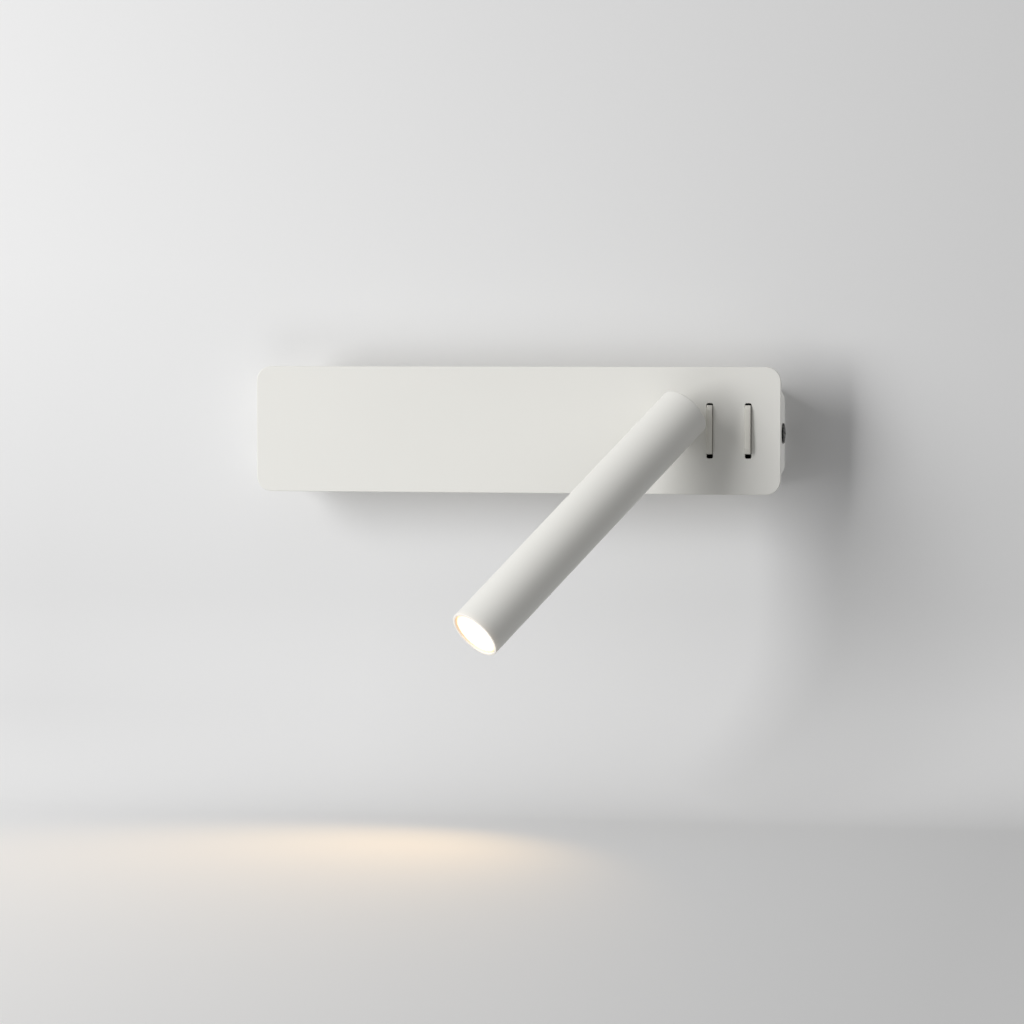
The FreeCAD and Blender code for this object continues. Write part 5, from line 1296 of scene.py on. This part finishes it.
def set_world(scene, sizes, base, spread=0.35):
    """Fill light that grows towards the wall's side across a spread of Y, and top light that grows with
    the square of the height. The camera and reflections see a plain colour."""
    world = bpy.data.worlds.new("studio")
    scene.world = world
    world.use_nodes = True
    tree = world.node_tree
    tree.nodes.clear()
    place = add(tree, "TexCoord")
    axes = add(tree, "SeparateXYZ", links={0: place.outputs["Object"]})
    side = add(tree, "MapRange", {"From Min": -spread, "From Max": spread, "To Min": sizes.fill_level,
                                  "To Max": sizes.bounce_level}, {"Value": axes.outputs["Y"]})
    rise = add(tree, "Math", {1: 0.0}, {0: axes.outputs["Z"]}, operation="MAXIMUM")
    steep = add(tree, "Math", {1: 2.0}, {0: rise.outputs["Value"]}, operation="POWER")
    level = add(tree, "Math", {1: sizes.top_level}, {0: steep.outputs["Value"], 2: side.outputs["Result"]},
                operation="MULTIPLY_ADD")
    lit = add(tree, "Background", {"Color": (1.0, 1.0, 1.0, 1.0)}, {"Strength": level.outputs["Value"]})
    seen = add(tree, "Background", {"Color": opaque(base), "Strength": 1.0})
    path = add(tree, "LightPath")
    mirrored = add(tree, "Math", (), {0: path.outputs["Is Glossy Ray"],
                                      1: path.outputs["Is Transmission Ray"]}, operation="ADD")
    looked = add(tree, "Math", (), {0: path.outputs["Is Camera Ray"], 1: mirrored.outputs["Value"]},
                 operation="ADD", use_clamp=True)
    both = add(tree, "MixShader", (), {0: looked.outputs["Value"], 1: lit.outputs["Background"],
                                       2: seen.outputs["Background"]})
    add(tree, "OutputWorld", links={"Surface": both.outputs["Shader"]})


def shine(light, place, back):
    """A lamp at a place that shines away from the direction back."""
    lamp = placed(light.name, light)
    lamp.location = place
    lamp.rotation_euler = back.to_track_quat("Z", "Y").to_euler()
    return lamp


def linked(name, things, state):
    """A collection of things that a lamp's light linking includes or excludes."""
    group = bpy.data.collections.new(name)
    for thing in things:
        group.objects.link(thing)
    for link in group.collection_objects:
        link.light_linking.link_state = state
    return group


class WALL_LIGHT_OT_stage(bpy.types.Operator):
    """Sweep, world, key lamps for the light and the sweep, floor light, the lamp's own beam and camera"""
    bl_idname = "wall_light.stage"
    bl_label = "Studio"

    def execute(self, context):
        sizes, tones = settings().studio, settings().colours
        scene = context.scene
        mesh = sweep_surface(sizes).mesh("sweep")
        mesh.shade_smooth()
        mesh.materials.append(matt_sweep("matt_board", tones.studio))
        sweep = placed("sweep", mesh)
        for ray in ("diffuse", "glossy", "transmission", "shadow"):
            setattr(sweep, "visible_" + ray, False)
        sweep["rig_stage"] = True
        set_world(scene, sizes, tones.studio)

        for name, direction, wide, power, state in (
                ("key", sizes.key_direction, sizes.key_wide, sizes.key_power, "EXCLUDE"),
                ("wall_key", sizes.wall_direction, sizes.wall_wide, sizes.wall_power, "INCLUDE")):
            back = Vector(direction).normalized()
            key = bpy.data.lights.new(name, "AREA")
            key.shape, key.size, key.size_y = "RECTANGLE", wide, sizes.key_tall
            key.energy = power
            lamp = shine(key, back * sizes.key_distance, back)
            lamp.light_linking.receiver_collection = linked(name + "_lit", [sweep], state)

        patch = bpy.data.lights.new("floor_light", "AREA")
        patch.shape, patch.size = "DISK", sizes.floor_wide
        patch.energy = sizes.floor_power
        pool = Vector(sizes.pool_place)
        shine(patch, pool + Vector((0.0, 0.0, 1 * MM)), Vector((0.0, 0.0, -1.0)))

        beam = bpy.data.lights.new("beam", "SPOT")
        beam.energy, beam.color = sizes.pool_power, tones.beam
        beam.spot_size, beam.spot_blend, beam.shadow_soft_size = sizes.pool_angle, 1.0, 0.01
        start = HEAD_PLACE @ Vector((TUBE_FRONT + sizes.beam_depth, 0.0, 0.0))
        lamp = shine(beam, start, start - pool)
        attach(lamp, "head")
        head = [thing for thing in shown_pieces() if body_of(thing) == ["head"]]
        passed = linked("beam_passes", head, "EXCLUDE")
        lamp.light_linking.blocker_collection = passed
        lamp.light_linking.receiver_collection = passed

        lens = bpy.data.cameras.new("camera")
        lens.lens, lens.sensor_width = sizes.focal, 36.0
        camera = placed("camera", lens)
        camera.location = sizes.camera_place
        camera.rotation_euler = sizes.camera_turn
        scene.camera = camera
        scene.view_settings.view_transform = "Standard"
        return {"FINISHED"}


OPERATORS = (WALL_LIGHT_OT_plate, WALL_LIGHT_OT_housing, WALL_LIGHT_OT_bracket, WALL_LIGHT_OT_side_screws,
             WALL_LIGHT_OT_diffusers, WALL_LIGHT_OT_grommet, WALL_LIGHT_OT_rockers, WALL_LIGHT_OT_swivel,
             WALL_LIGHT_OT_tube, WALL_LIGHT_OT_lens, WALL_LIGHT_OT_inner_parts, WALL_LIGHT_OT_stage)


class WALL_LIGHT_PT_panel(bpy.types.Panel):
    """Sizes, colours and levels of the wall light"""
    bl_idname = "WALL_LIGHT_PT_panel"
    bl_label = "Wall light"
    bl_space_type = "VIEW_3D"
    bl_region_type = "UI"
    bl_category = "Wall light"

    def draw(self, context):
        for group in (settings().panel, settings().screw, settings().rocker, settings().lamp,
                      settings().colours, settings().studio):
            box = self.layout.box()
            for name in group.__annotations__:
                box.prop(group, name)
        for operator in OPERATORS:
            self.layout.operator(operator.bl_idname)


CLASSES = (PanelSizes, ScrewSizes, RockerSizes, LampSizes, FinishColours, StudioSizes,
           WallLightSettings) + OPERATORS + (WALL_LIGHT_PT_panel,)


def register():
    """Registers the classes and the scene's settings."""
    for kind in CLASSES:
        bpy.utils.register_class(kind)
    bpy.types.Scene.wall_light = bpy.props.PointerProperty(type=WallLightSettings)


def unregister():
    """Takes the settings and the classes away again."""
    del bpy.types.Scene.wall_light
    for kind in reversed(CLASSES):
        bpy.utils.unregister_class(kind)


def main():
    """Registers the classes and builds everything."""
    register()
    for operator in OPERATORS:
        group, name = operator.bl_idname.split(".")
        getattr(getattr(bpy.ops, group), name)()


if __name__ == "__main__":
    main()
